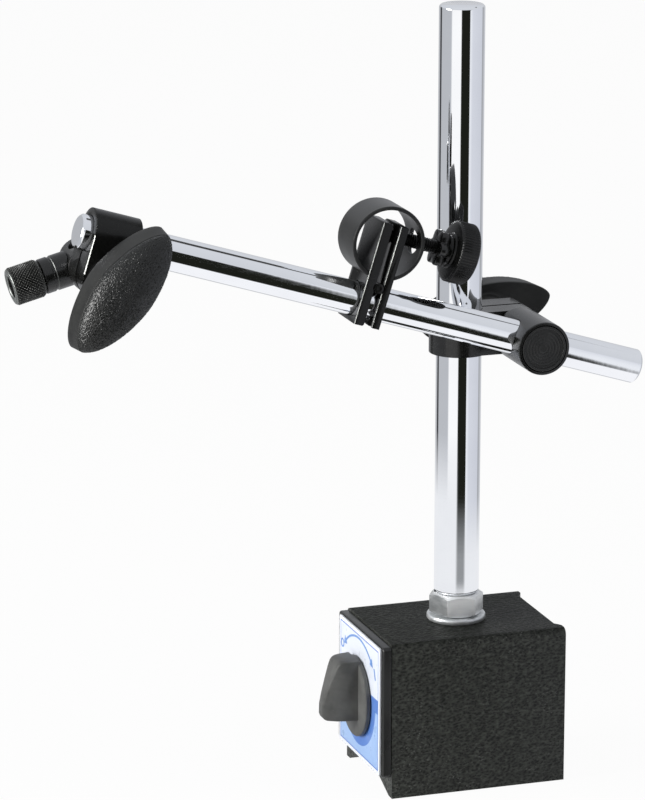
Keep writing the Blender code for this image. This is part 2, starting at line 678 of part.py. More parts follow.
def lobed(lobes, valley_r, peak_r, count):
    # (y, z) outline round the thumb screw's axis
    points = []
    for i in range(count):
        angle = math.tau * i / count
        wave = (0.5 + 0.5 * math.cos(lobes * math.tau * i / count)) ** 0.7
        radius = valley_r + (peak_r - valley_r) * wave
        points.append((radius * math.cos(angle), radius * math.sin(angle) + SCREW_Z))
    return points


def make_lock_nut():
    at = (LOCK_X0, 0, SCREW_Z)
    nut = prism("lobed_lock_nut", lobed(6, 5.0, 6.6, 30), LOCK_X0, LOCK_X1, 'X')
    cut(nut, through(NUT_HOLE_R, along('X', at), SIDES_SMALL))
    finish(nut, "black_oxide", arm_frame, at)


def make_thumb_knob():
    knob = prism("thumb_knob", lobed(22, 10.3, 10.8, 44), RIM_X0, RIM_X1, 'X')
    place = along('X', SCREW_LINE)
    join(knob, turned("hub", [
        (0, RIM_X0 + 0.6), (5.2, RIM_X0 + 0.6), (6.2, RIM_X0 - 0.4), (5.0, RIM_X0 - 0.9),
        (5.0, RIM_X0 - 2.3), (0, RIM_X0 - 2.3)], place, SIDES_MID))
    dish = [(0, RIM_X1 + 1), (8.4, RIM_X1 + 1), (7.6, RIM_X1 - 0.6), (0, RIM_X1 - 0.6)]
    cut(knob,
        turned("dish", dish, place, SIDES_MID),
        cylinder("screw_hole", NUT_HOLE_R, -50, RIM_X1 - 1.8, place, SIDES_SMALL))
    finish(knob, "black_oxide", arm_frame, THUMB, sharp_angle=40)


# ---- arm-end clamp ---------------------------------------------------------------------------
def make_end_clamp():
    x_span = (END_X - END_W, END_X + END_W)
    clamp = cylinder("end_clamp_block", END_R, *x_span, along('X'))
    legs = box("legs", x_span, (-END_R, END_R), (END_Z, 0))
    join(legs, cylinder("foot", END_W, -END_R, END_R, along('Y', END_BOLT)))
    join(clamp, legs)
    cut(clamp,
        through(ARM_HOLE_R, along('X', (END_X, 0, 0))),
        box("slit", (-190, -140), (-SLIT, SLIT), (-40, -4)),
        through(END_HOLE_R, along('Y', END_BOLT), SIDES_SMALL))
    finish(clamp, "black_oxide", arm_frame)


def from_head(direction):
    # places a turned piece on a line from the head's centre
    return (Matrix.Translation(Vector(HEAD) * MM)
            @ direction.to_track_quat('Z', 'Y').to_matrix().to_4x4())


def make_swivel_head():
    bolt_end = -END_R - FRONT_GAP - 9
    head = turned("swivel_head", [
        (0, HEAD_Y1), (HEAD_R - 0.7, HEAD_Y1), (HEAD_R, HEAD_Y1 - 0.7),
        (HEAD_R, HEAD_Y0 + 0.4), (HEAD_R - 0.4, HEAD_Y0), (HEAD_BOLT_R, HEAD_Y0),
        (HEAD_BOLT_R, bolt_end), (0, bolt_end)], along('Y', END_BOLT), HEAD_SIDES)
    # the stem bore crosses the stud hole at a right angle
    across = Vector((-STEM_DIR.z, 0, STEM_DIR.x))
    cut(head,
        through(STEM_BORE_R, from_head(across), SIDES_MID),
        cylinder("stud_hole", 2.8, 0, 20, from_head(STEM_DIR), SIDES_SMALL))
    finish(head, "black_oxide", arm_frame, HEAD)


def make_stem_pieces():
    place = from_head(STEM_DIR)
    stud = cylinder("stem_stud", 2.4, 4.5, 25.4, place, SIDES_SMALL, chamfer=0.4)
    finish(stud, "zinc", arm_frame, HEAD)
    collar = turned("stem_collar", COLLAR, place, STEM_SIDES, closed=True)
    # the collar is hollowed to sit round the head
    cut(collar, through(HEAD_R + 0.25, along('Y', HEAD), HEAD_SIDES))
    finish(collar, "black_oxide", arm_frame, HEAD)
    nut = turned("stem_nut", STEM_NUT, place, STEM_SIDES, closed=True)
    finish(nut, "black_oxide", arm_frame, HEAD)


def centre_over_origin():
    # moves the base frame so that the stand's bounds are centred in X and Y, lowest point at z = 0
    bpy.context.view_layer.update()
    points = [ob.matrix_world @ vert.co
              for ob in parts.objects if ob.type == 'MESH' for vert in ob.data.vertices]
    low = [min(p[i] for p in points) for i in range(3)]
    high = [max(p[i] for p in points) for i in range(3)]
    base_frame.location = (-(low[0] + high[0]) / 2, -(low[1] + high[1]) / 2, -low[2])
    bpy.context.view_layer.update()


make_pole("pole_front", -1)
make_pole("pole_rear", 1)
make_divider("divider_upper", (BORE_Z + 10, BLOCK_H), (0, BORE_Z + BORE_R + DIV_TRIM),
             rotor_bore(), stud_hole())
make_divider("divider_lower", (VEE_DEPTH + 0.2, BORE_Z - BORE_R + 6),
             (BORE_Z - BORE_R - DIV_TRIM, 80), rotor_bore())
make_cover()
make_cover_screws()
make_label_plate()
make_rotor()
make_switch()

make_column()
make_hex_nut()
make_washer()

make_cross_clamp()
make_flat_washer("clamp_thrust_washer", swung_frame, BOLT, 7.0, BOLT_HOLE_R,
                 JAW_Y + 0.2, JAW_Y + 1.2)
make_sleeve()
make_eye_bolt()
make_sleeve_cap()
make_wing_knob("rear_knob", swung_frame, (BOLT_X, JAW_Y, BOLT_Z), 1, REAR_KNOB_TURN,
               REAR_GAP, insert_hole_r=4.3)
make_wing_knob("front_knob", arm_frame, (END_X, -END_R, END_Z), -1, FRONT_KNOB_TURN,
               FRONT_GAP, insert_hole_r=3.2)

make_cross_arm()
make_holder_jaw("holder_jaw_left", JAW_LEFT, JAW_LEFT[1], 1)
make_holder_jaw("holder_jaw_right", JAW_RIGHT, JAW_RIGHT[0], -1)
make_holder_pin()
make_holder_ring()
make_thumb_screw()
make_lock_nut()
make_thumb_knob()

make_end_clamp()
make_flat_washer("end_thrust_washer", arm_frame, END_BOLT, 6.5, END_WASHER_HOLE_R,
                 -END_R - 1.2, -END_R - 0.2)
make_flat_washer("friction_washer", arm_frame, END_BOLT, 7.3, END_WASHER_HOLE_R,
                 END_R + 0.2, HEAD_Y0 - 0.2)
make_swivel_head()
make_stem_pieces()

centre_over_origin()
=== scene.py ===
# Magnetic base stand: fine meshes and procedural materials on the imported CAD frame.
# The block stands on the floor, its vee groove along X and its label on the -X end; -Y is the
# front. The column rises along Z, and the cross clamp on it carries the arm, which has a
# dovetail holder on it and a swivel clamp near its -X end.
# Pieces are built in millimetres in a local frame (BASE, SWUNG or ARM) and stored in metres.
import json
import math
from contextlib import contextmanager

import bmesh
import bpy
from mathutils import Matrix, Vector, noise


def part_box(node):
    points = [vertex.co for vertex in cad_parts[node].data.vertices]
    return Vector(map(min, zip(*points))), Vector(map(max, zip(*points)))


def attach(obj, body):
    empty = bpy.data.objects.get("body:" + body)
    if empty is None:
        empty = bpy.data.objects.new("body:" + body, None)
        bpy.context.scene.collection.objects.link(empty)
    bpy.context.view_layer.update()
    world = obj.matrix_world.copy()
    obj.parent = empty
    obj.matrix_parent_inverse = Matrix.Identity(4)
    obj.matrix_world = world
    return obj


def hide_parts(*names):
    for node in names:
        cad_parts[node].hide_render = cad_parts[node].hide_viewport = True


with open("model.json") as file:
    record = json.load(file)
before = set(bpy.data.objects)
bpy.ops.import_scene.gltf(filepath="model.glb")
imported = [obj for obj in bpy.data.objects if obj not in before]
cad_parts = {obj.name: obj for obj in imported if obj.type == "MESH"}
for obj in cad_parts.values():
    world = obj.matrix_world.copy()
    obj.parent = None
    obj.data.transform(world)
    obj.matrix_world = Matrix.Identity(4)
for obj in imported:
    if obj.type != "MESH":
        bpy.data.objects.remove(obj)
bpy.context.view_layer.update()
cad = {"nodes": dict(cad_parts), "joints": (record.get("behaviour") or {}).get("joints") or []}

MM = 0.001
NODES = cad["nodes"]
JOINTS = {joint["name"]: joint for joint in cad["joints"]}
scene = bpy.context.scene
scene.view_settings.view_transform = "Standard"
scene.view_settings.look = "None"


# ---- frames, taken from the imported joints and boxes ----
def frame_at(origin, *axes):
    return Matrix.Translation(origin) @ Matrix(axes).transposed().to_4x4()


def local_box(node, frame):
    """Lowest and highest corner of a CAD node in a frame, in millimetres."""
    inverse = frame.inverted()
    points = [inverse @ v.co for v in NODES[node].data.vertices]
    lo = Vector([min(p[i] for p in points) for i in range(3)]) / MM
    hi = Vector([max(p[i] for p in points) for i in range(3)]) / MM
    return lo, hi


column_lo, column_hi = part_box("column")
COLUMN_X = (column_lo.x + column_hi.x) / 2
COLUMN_Y = (column_lo.y + column_hi.y) / 2
COLUMN_R = (column_hi.x - column_lo.x) / 2 / MM
COLUMN_TOP = column_hi.z / MM

UP = Vector((0, 0, 1))
arm_x = Vector(JOINTS["arm_slide"]["axis"]).normalized()
arm_y = Vector(JOINTS["arm_tilt"]["axis"]).normalized()
arm_origin = Vector(JOINTS["arm_tilt"]["pos_m"])

BASE = Matrix.Translation((COLUMN_X, COLUMN_Y, 0))
ARM = frame_at(arm_origin, arm_x, arm_y, arm_x.cross(arm_y).normalized())
SWUNG = frame_at((COLUMN_X, COLUMN_Y, 0), arm_y.cross(UP), arm_y, UP)  # turned with the clamp

arm_in_swung = SWUNG.inverted() @ arm_origin
BOLT_X, BOLT_Z = arm_in_swung.x / MM, arm_in_swung.z / MM
BORE_Z = JOINTS["switch_turn"]["pos_m"][2] / MM
BORE = (0, 0, BORE_Z)

# ---- mesh kit ----
ORIGIN = (0, 0, 0)
AXIS_ROT = {
    "Z": Matrix.Identity(4),
    "X": Matrix.Rotation(math.radians(90), 4, "Y"),
    "Y": Matrix.Rotation(math.radians(-90), 4, "X"),
}
END_LOOP = 0.12  # distance of the support loops from the ends of a long run
LONG_RUN = 2.5
scratch = bpy.data.collections.new("scratch")
scene.collection.children.link(scratch)


def link_mesh(name, mesh, collection):
    data = bpy.data.meshes.new(name)
    mesh.to_mesh(data)
    mesh.free()
    obj = bpy.data.objects.new(name, data)
    collection.objects.link(obj)
    return obj


def new_piece(mesh):
    bmesh.ops.recalc_face_normals(mesh, faces=mesh.faces)
    return link_mesh("piece", mesh, scratch)


@contextmanager
def editing(data):
    mesh = bmesh.new()
    mesh.from_mesh(data)
    yield mesh
    mesh.to_mesh(data)
    mesh.free()


def bake(obj):
    """Applies the modifiers and cleans the result."""
    depsgraph = bpy.context.evaluated_depsgraph_get()
    depsgraph.update()
    data = bpy.data.meshes.new_from_object(obj.evaluated_get(depsgraph))
    with editing(data) as mesh:
        bmesh.ops.remove_doubles(mesh, verts=mesh.verts, dist=1e-6)
        bmesh.ops.dissolve_degenerate(mesh, edges=mesh.edges, dist=1e-6)
        bmesh.ops.recalc_face_normals(mesh, faces=mesh.faces)
    obj.modifiers.clear()
    obj.data = data


def turned(profile, axis="Z", at=ORIGIN, seg=96, closed=False, matrix=None):
    """Turns (radius, height) pairs about an axis; a closed profile makes a ring.

    Long runs get a loop near each end, so that reflections stay straight up to the chamfer.
    """
    full = []
    for (r0, h0), (r1, h1) in zip(profile, profile[1:] + (profile[:1] if closed else [])):
        full.append((r0, h0))
        run = math.hypot(r1 - r0, h1 - h0)
        if run > LONG_RUN and r0 > 1e-6 and r1 > 1e-6:
            for k in (END_LOOP / run, 1 - END_LOOP / run):
                full.append((r0 + (r1 - r0) * k, h0 + (h1 - h0) * k))
    if not closed:
        full.append(profile[-1])
    if matrix is None:
        matrix = Matrix.Translation(Vector(at) * MM) @ AXIS_ROT[axis]
    mesh = bmesh.new()
    rows = []
    for radius, height in full:
        count = 1 if radius < 1e-6 else seg
        reach = 0 if count == 1 else radius * MM
        rows.append([mesh.verts.new(matrix @ Vector((
            reach * math.cos(math.tau * i / seg),
            reach * math.sin(math.tau * i / seg),
            height * MM))) for i in range(count)])
    for low, high in list(zip(rows, rows[1:])) + ([(rows[-1], rows[0])] if closed else []):
        if len(low) == 1 and len(high) == 1:
            continue
        for i in range(seg):
            k = (i + 1) % seg
            if len(low) == 1:
                mesh.faces.new((low[0], high[k], high[i]))
            elif len(high) == 1:
                mesh.faces.new((low[i], low[k], high[0]))
            else:
                mesh.faces.new((low[i], low[k], high[k], high[i]))
    return new_piece(mesh)


def cyl(radius, start, end, axis="Z", at=ORIGIN, seg=96, matrix=None):
    profile = [(0, end), (radius, end), (radius, start), (0, start)]
    return turned(profile, axis, at, seg, matrix=matrix)


def box(x0, x1, y0, y1, z0, z1):
    mesh = bmesh.new()
    bmesh.ops.create_cube(mesh, size=1.0)
    for v in mesh.verts:
        v.co = Vector(((x0 + x1) / 2 + v.co.x * (x1 - x0),
                       (y0 + y1) / 2 + v.co.y * (y1 - y0),
                       (z0 + z1) / 2 + v.co.z * (z1 - z0))) * MM
    return new_piece(mesh)


def prism(outline, start, end, axis):
    """Outline points are (x, z), (y, z) or (x, y), for the axis Y, X or Z."""
    spot = {"Y": lambda u, v, d: (u, d, v),
            "X": lambda u, v, d: (d, u, v),
            "Z": lambda u, v, d: (u, v, d)}[axis]
    mesh = bmesh.new()
    low, high = [[mesh.verts.new(Vector(spot(u, v, depth)) * MM) for u, v in outline]
                 for depth in (start, end)]
    mesh.faces.new(low)
    mesh.faces.new(high[::-1])
    count = len(outline)
    for i in range(count):
        k = (i + 1) % count
        mesh.faces.new((low[i], high[i], high[k], low[k]))
    return new_piece(mesh)


def rounded_slab(lo, hi, radius, steps=6):
    """Slab between two corners, rounded in the YZ plane."""
    outline = []
    for y, z, turn in ((hi.y - radius, hi.z - radius, 0), (lo.y + radius, hi.z - radius, 90),
                       (lo.y + radius, lo.z + radius, 180), (hi.y - radius, lo.z + radius, 270)):
        for i in range(steps + 1):
            angle = math.radians(turn + 90 * i / steps)
            outline.append((y + radius * math.cos(angle), z + radius * math.sin(angle)))
    return prism(outline, lo.x, hi.x, "X")


def combine(operation, obj, *others):
    for other in others:
        mod = obj.modifiers.new("bool", "BOOLEAN")
        mod.operation = operation
        mod.solver = "EXACT"
        mod.object = other
        bake(obj)
        bpy.data.objects.remove(other, do_unlink=True)


def cut(obj, *cutters):
    combine("DIFFERENCE", obj, *cutters)


def unite(obj, *others):
    combine("UNION", obj, *others)


def edges_at(**planes):
    """Test for edges that lie on all the given planes."""
    return lambda *ends: all(abs(getattr(end, axis) - value) < 0.01
                             for end in ends for axis, value in planes.items())


def bevel(obj, width, segments, angle=30.0, keep=None):
    """Bevels the edges whose ends pass keep, or else those sharper than the angle."""
    if keep is not None:
        with editing(obj.data) as mesh:
            layers = mesh.edges.layers.float
            weight = layers.get("bevel_weight_edge") or layers.new("bevel_weight_edge")
            for edge in mesh.edges:
                start, end = [v.co / MM for v in edge.verts]
                edge[weight] = 1.0 if keep(start, end) else 0.0
    mod = obj.modifiers.new("bevel", "BEVEL")
    mod.width = width * MM
    mod.segments = segments
    mod.limit_method = "WEIGHT" if keep is not None else "ANGLE"
    mod.angle_limit = math.radians(angle)
    mod.use_clamp_overlap = True
    bake(obj)


def smooth(obj, angle):
    with editing(obj.data) as mesh:
        for face in mesh.faces:
            face.smooth = True
        for edge in mesh.edges:
            if len(edge.link_faces) == 2 and edge.calc_face_angle(0.0) > math.radians(angle):
                edge.smooth = False


def loft(levels, count, point, ring_closed=False):
    """Skin over levels; point(level, t) is a place in mm for the turn t in 0..1."""
    mesh = bmesh.new()
    rows = [[mesh.verts.new(Vector(point(level, i / count)) * MM) for i in range(count)]
            for level in levels]
    for low, high in list(zip(rows, rows[1:])) + ([(rows[-1], rows[0])] if ring_closed else []):
        for i in range(count):
            k = (i + 1) % count
            mesh.faces.new((low[i], low[k], high[k], high[i]))
    if not ring_closed:
        for row in (rows[0], rows[-1]):
            total = Vector(ORIGIN)
            for v in row:
                total += v.co
            middle = mesh.verts.new(total / count)
            for i in range(count):
                mesh.faces.new((row[i], row[(i + 1) % count], middle))
    return new_piece(mesh)


def tag_faces(obj, test):
    """Gives the second material to the faces that pass test(centre in mm, normal)."""
    while len(obj.data.materials) < 2:
        obj.data.materials.append(None)
    for face in obj.data.polygons:
        if test(face.center / MM, face.normal):
            face.material_index = 1


def place(obj, node, body, frame, mats, sharp=30, extra=False):
    """Finishes a piece that stands for a CAD node, or an extra one that replaces none."""
    obj.data.transform(frame)
    obj.name = obj.data.name = node if extra else node + "_fine"
    scratch.objects.unlink(obj)
    scene.collection.objects.link(obj)
    mats = mats if isinstance(mats, list) else [mats]
    # clearing the slots resets the face indices, so they are put back
    indices = [face.material_index for face in obj.data.polygons]
    obj.data.materials.clear()
    for mat in mats:
        obj.data.materials.append(mat)
    if len(mats) > 1:
        for face, index in zip(obj.data.polygons, indices):
            face.material_index = index
    smooth(obj, sharp)
    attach(obj, body)
    if not extra:
        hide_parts(node)


# ---- shader kit ----
class Graph:
    """Short calls for shader nodes; each returns an output socket unless noted."""

    def __init__(self, tree, coords="Object"):
        self.tree = tree
        self.coord = self.node("ShaderNodeTexCoord").outputs[coords]

    def node(self, kind, **props):
        """Returns the node itself."""
        node = self.tree.nodes.new(kind)
        for key, value in props.items():
            setattr(node, key, value)
        return node

    def put(self, sock, value):
        if isinstance(value, bpy.types.NodeSocket):
            self.tree.links.new(value, sock)
        elif sock.type == "RGBA":
            sock.default_value = (*value, 1)
        else:
            sock.default_value = value

    def fill(self, node, **inputs):
        for key, value in inputs.items():
            self.put(node.inputs[key], value)
        return node.outputs

    def mapping(self, scale, rot=ORIGIN):
        node = self.node("ShaderNodeMapping")
        return self.fill(node, Scale=scale, Rotation=rot, Vector=self.coord)["Vector"]

    def noise(self, scale, vec=None, detail=3.0, rough=0.6):
        return self.fill(self.node("ShaderNodeTexNoise"), Scale=scale, Detail=detail,
                         Roughness=rough, Vector=vec or self.coord)["Fac"]

    def soft_noise(self, scale, vec=None):
        return self.noise(scale, vec, detail=2.0, rough=0.5)

    def cells(self, scale, vec=None):
        node = self.node("ShaderNodeTexVoronoi", feature="SMOOTH_F1")
        return self.fill(node, Scale=scale, Vector=vec or self.coord)["Distance"]

    def ramp(self, fac, stops):
        node = self.node("ShaderNodeValToRGB")
        elements = node.color_ramp.elements
        while len(elements) < len(stops):
            elements.new(0.5)
        for element, (position, color) in zip(elements, stops):
            element.position = position
            element.color = (*color, 1)
        return self.fill(node, Fac=fac)["Color"]

    def math(self, operation, *values):
        node = self.node("ShaderNodeMath", operation=operation)
        for sock, value in zip(node.inputs, values):
            self.put(sock, value)
        return node.outputs[0]

    def add(self, first, second):
        return self.math("ADD", first, second)

    def times(self, first, second):
        return self.math("MULTIPLY", first, second)

    def vector(self, operation, *values, out="Vector"):
        node = self.node("ShaderNodeVectorMath", operation=operation)
        for sock, value in zip(node.inputs, values):
            self.put(sock, value)
        return node.outputs[out]

    def dot(self, source, direction):
        return self.vector("DOT_PRODUCT", source, direction, out="Value")

    def split(self, source):
        """Returns the X, Y and Z outputs."""
        return self.fill(self.node("ShaderNodeSeparateXYZ"), Vector=source)

    def geometry(self, output):
        return self.node("ShaderNodeNewGeometry").outputs[output]

    def range(self, value, from_min, from_max, to_min=0.0, to_max=1.0):
        node = self.node("ShaderNodeMapRange")
        self.put(node.inputs["Value"], value)
        for key, number in (("From Min", from_min), ("From Max", from_max),
                            ("To Min", to_min), ("To Max", to_max)):
            node.inputs[key].default_value = number
        return node.outputs["Result"]

    def fall(self, value, start, end):
        return self.range(value, start, end, 1, 0)

    def window(self, value, start, end, soft):
        return self.times(self.range(value, start - soft, start + soft),
                          self.fall(value, end - soft, end + soft))

    def mix(self, fac, first, second):
        node = self.node("ShaderNodeMix", data_type="RGBA")
        self.put(node.inputs["Factor"], fac)
        # inputs 6 and 7 and output 2 are the colour ones
        self.put(node.inputs[6], first)
        self.put(node.inputs[7], second)
        return node.outputs[2]

    def bump(self, height, strength, dist, prev=None):
        node = self.node("ShaderNodeBump")
        self.fill(node, Strength=strength, Distance=dist, Height=height)
        if prev is not None:
            self.put(node.inputs["Normal"], prev)
        return node.outputs["Normal"]

    def glow(self, kind, color, strength=1.0):
        node = self.node("ShaderNode" + kind)
        return self.fill(node, Color=color, Strength=strength)[0]

    def mix_shader(self, fac, first, second):
        node = self.node("ShaderNodeMixShader")
        for sock, value in zip(node.inputs, (fac, first, second)):
            self.put(sock, value)
        return node.outputs[0]


class Material(Graph):
    SOCKETS = {"color": "Base Color", "rough": "Roughness", "metal": "Metallic",
               "normal": "Normal", "spec": "Specular IOR Level"}

    def __init__(self, name):
        self.data = bpy.data.materials.new(name)
        self.data.use_nodes = True
        super().__init__(self.data.node_tree)

    def set(self, **values):
        shader = self.tree.nodes["Principled BSDF"]
        for key, value in values.items():
            self.put(shader.inputs[self.SOCKETS[key]], value)
        return self.data


# ---- materials ----
def make_paint():
    """Black crackle enamel: a net of fine ridges, a little stretched; top faces get a painted
    shade, a darker ridge colour, and less shine.
    """
    mat = Material("crackle_enamel")
    vec = mat.mapping(scale=(0.72, 0.9, 1.15))
    warp = mat.soft_noise(420, vec)
    cells = mat.cells(1150, mat.vector("MULTIPLY_ADD", warp, (0.0022, 0.0022, 0.0022), vec))
    fine = mat.noise(2600, vec)
    broad = mat.soft_noise(60)
    height = mat.add(mat.times(cells, 0.9), mat.times(fine, 0.45))
    sparkle = mat.range(mat.noise(1500, vec, detail=2), 0.58, 0.78)
    up = mat.split(mat.geometry("Normal"))["Z"]
    # painted shade: the ridge colour is darker on faces that look up
    ridge = mat.mix(mat.range(up, 0.3, 0.95), (0.078, 0.083, 0.073), (0.042, 0.045, 0.040))
    color = mat.mix(mat.range(height, 0.35, 1.0), (0.0068, 0.0073, 0.0062), ridge)
    fleck = mat.times(sparkle, mat.range(broad, 0.42, 0.62, 0.15, 1.0))
    color = mat.mix(fleck, color, (0.15, 0.155, 0.145))
    return mat.set(color=color, rough=mat.range(fine, 0.3, 0.7, 0.28, 0.46),
                   spec=mat.range(up, 0.3, 0.95, 0.22, 0.03),
                   normal=mat.bump(height, strength=1.0, dist=0.00030))


def make_chrome(name, rot=ORIGIN, rough=0.045):
    """Ground, then chromed: faint lapping marks around the rod and a very slight waviness."""
    mat = Material(name)
    wave = mat.soft_noise(260, mat.mapping(scale=(1, 1, 0.06), rot=rot))
    lapping = mat.noise(900, mat.mapping(scale=(0.03, 0.03, 1), rot=rot))
    smear = mat.range(mat.noise(45), 0.35, 0.7)
    color = mat.mix(smear, (0.955, 0.965, 0.985), (0.915, 0.925, 0.95))
    waves = mat.bump(wave, strength=0.10, dist=0.00005)
    marks = mat.bump(lapping, strength=0.05, dist=0.00002, prev=waves)
    return mat.set(color=color, metal=1.0,
                   rough=mat.range(lapping, 0.3, 0.7, rough * 0.7, rough * 1.5), normal=marks)


def make_black(name, base, rough, grain, strength, tint=(1.0, 1.02, 0.97), spec=0.5):
    """Near-black surface of brightness base: blotchy, finely grained and thinly scratched."""
    mat = Material(name)
    fine = mat.noise(grain)
    broad = mat.noise(90, rough=0.55)
    dim, lit, scratched = [tuple(base * gain * t for t in tint) for gain in (0.72, 1.35, 3.0)]
    color = mat.mix(mat.range(broad, 0.35, 0.65), dim, lit)
    scratch_vec = mat.mapping(scale=(0.05, 1, 1), rot=(0.2, 0.4, 0.3))
    scratch_mask = mat.range(mat.soft_noise(700, scratch_vec), 0.70, 0.80)
    color = mat.mix(mat.times(scratch_mask, 0.35), color, scratched)
    return mat.set(color=color, rough=mat.range(broad, 0.3, 0.7, *rough), spec=spec,
                   normal=mat.bump(fine, strength=strength, dist=0.00006))


def brushed(mat, grain):
    """Brush marks, and a blend of them with broad blotches."""
    broad = mat.noise(160)
    brush = mat.noise(1400, mat.mapping(scale=grain))
    return brush, mat.add(mat.times(broad, 0.6), mat.times(brush, 0.4))


def finish_brushed(mat, brush, blend, dim, lit, rough, metal):
    return mat.set(color=mat.mix(mat.range(blend, 0.38, 0.62), dim, lit), metal=metal,
                   rough=mat.range(blend, 0.35, 0.65, *rough),
                   normal=mat.bump(brush, strength=0.15, dist=0.00004))


def make_metal(name, dim, lit, rough, grain=(1, 1, 1), metal=1.0):
    mat = Material(name)
    return finish_brushed(mat, *brushed(mat, grain), dim, lit, rough, metal)


LONG_GRAIN = (0.25, 0.25, 1.0)


def make_nut_painted_light_shade():
    """Satin zinc with painted light and shade: faces that look away from +X are painted much
    darker, the others near white.
    """
    mat = Material("zinc_nut_painted_light_shade")
    brush, blend = brushed(mat, LONG_GRAIN)
    # painted light and shade: the colour runs from dark to near white with the way each face
    # looks
    turn = mat.range(mat.dot(mat.geometry("Normal"), (0.95, -0.32, 0)), -0.70, -0.20)
    dim = mat.mix(turn, (0.21, 0.22, 0.225), (0.90, 0.92, 0.94))
    lit = mat.mix(turn, (0.32, 0.33, 0.335), (0.99, 1.0, 1.0))
    return finish_brushed(mat, brush, blend, dim, lit, rough=(0.30, 0.44), metal=0.35)


def make_knurl():
    """Black knurl whose crests are coloured lighter: wear, and a painted highlight on the crests.
    """
    mat = Material("knurled_black_steel")
    # crest mask: lighter colour on the crests, partly wear and partly a painted highlight
    crest_wear_and_highlight = mat.range(mat.geometry("Pointiness"), 0.505, 0.56)
    fleck = mat.range(mat.noise(1300, detail=2), 0.35, 0.7, 0.25, 1.0)
    color = mat.mix(mat.times(crest_wear_and_highlight, fleck), (0.0085, 0.0088, 0.0080), (0.20, 0.205, 0.19))
    return mat.set(color=color, rough=mat.range(mat.noise(90, rough=0.55), 0.3, 0.7, 0.20, 0.32),
                   spec=0.4, normal=mat.bump(mat.noise(2200), strength=0.07, dist=0.00006))


def make_pebble():
    mat = Material("pebbled_plastic")
    cells = mat.cells(1500)
    fine = mat.noise(3200, detail=2)
    height = mat.add(cells, mat.times(fine, 0.35))
    color = mat.mix(mat.range(height, 0.3, 0.9),
                    (0.0045, 0.0048, 0.0041), (0.011, 0.0117, 0.0102))
    return mat.set(color=color, rough=mat.range(fine, 0.3, 0.7, 0.25, 0.38), spec=0.52,
                   normal=mat.bump(height, strength=0.8, dist=0.00012))


def make_label(y0, y1, z0, z1, split_z, knob_y, knob_z):
    """White field with a thin blue frame above, pale blue field below, darker round the knob.

    All lengths in the label's shader are metres.
    """
    line_outer, line_inner, line_soft = 0.0013, 0.0018, 0.00006
    split_soft = 0.00012
    crescent_r, crescent_soft = 0.0182, 0.00008
    blue, pale, dark = (0.10, 0.19, 0.58), (0.34, 0.50, 0.80), (0.085, 0.20, 0.56)
    white, border, worn = (0.74, 0.78, 0.86), (0.84, 0.87, 0.93), (0.93, 0.94, 0.96)
    mat = Material("printed_label")
    axes = mat.split(mat.coord)
    y, z = axes["Y"], axes["Z"]

    def inside(margin):
        return mat.times(mat.window(y, y0 + margin, y1 - margin, line_soft),
                         mat.window(z, z0 + margin, z1 - margin, line_soft))

    dy, dz = mat.math("SUBTRACT", y, knob_y), mat.math("SUBTRACT", z, knob_z)
    radius = mat.math("SQRT", mat.add(mat.times(dy, dy), mat.times(dz, dz)))
    low = mat.fall(z, split_z - split_soft, split_z + split_soft)
    # the dark band is a crescent that follows the knob and runs out into a bar at the border
    crescent = mat.times(
        mat.fall(radius, crescent_r - crescent_soft, crescent_r + crescent_soft), low)
    bar = mat.times(mat.range(z, split_z - 0.0052, split_z - 0.0050), low)
    band = mat.math("MAXIMUM", crescent, bar)
    field = mat.mix(band, mat.mix(low, white, pale), dark)
    tint = mat.range(mat.soft_noise(75), 0.35, 0.7)
    shade = mat.mix(mat.times(tint, 0.10), field, (0.50, 0.62, 0.86))
    line = mat.math("SUBTRACT", inside(line_outer), inside(line_inner))
    shade = mat.mix(mat.times(line, 0.9), shade, blue)
    color = mat.mix(inside(line_outer), border, shade)
    scuff = mat.range(mat.noise(900, mat.mapping(scale=(1, 1, 0.2))), 0.66, 0.8)
    color = mat.mix(mat.times(scuff, 0.25), color, worn)
    return mat.set(color=color, rough=mat.range(mat.soft_noise(300), 0.3, 0.7, 0.26, 0.40),
                   spec=0.4, normal=mat.bump(mat.soft_noise(1600), strength=0.05, dist=0.00003))


def make_ink(name, dim, lit, rough):
    mat = Material(name)
    color = mat.mix(mat.range(mat.soft_noise(900), 0.35, 0.65), dim, lit)
    return mat.set(color=color, rough=rough,
                   normal=mat.bump(mat.soft_noise(1600), strength=0.08, dist=0.00003))


PAINT = make_paint()
CHROME_COLUMN = make_chrome("chrome_column")
CHROME_ARM = make_chrome("chrome_arm", rot=(0, math.radians(90), 0))
OXIDE = make_black("satin_black_steel", base=0.0085, rough=(0.19, 0.29), grain=2200,
                   strength=0.07, spec=0.27)
GLOSS = make_black("glossy_black_casting", base=0.0105, rough=(0.17, 0.27), grain=2200,
                   strength=0.07)
SHEEN = make_black("satin_black_ring", base=0.016, rough=(0.27, 0.36), grain=2600,
                   strength=0.08)
WALL = make_black("knob_wall_plastic", base=0.017, rough=(0.42, 0.54), grain=2000,
                  strength=0.16, spec=0.24)
PEBBLE = make_pebble()
SWITCH = make_black("switch_grey_plastic", base=0.098, rough=(0.40, 0.52), grain=1900,
                    strength=0.22, tint=(0.99, 1.0, 0.965), spec=0.25)
COVER = make_black("cover_black_plastic", base=0.012, rough=(0.20, 0.32), grain=1500,
                   strength=0.08)
ZINC = make_metal("zinc_plate", dim=(0.55, 0.57, 0.58), lit=(0.82, 0.84, 0.85),
                  rough=(0.28, 0.42), grain=LONG_GRAIN, metal=0.7)
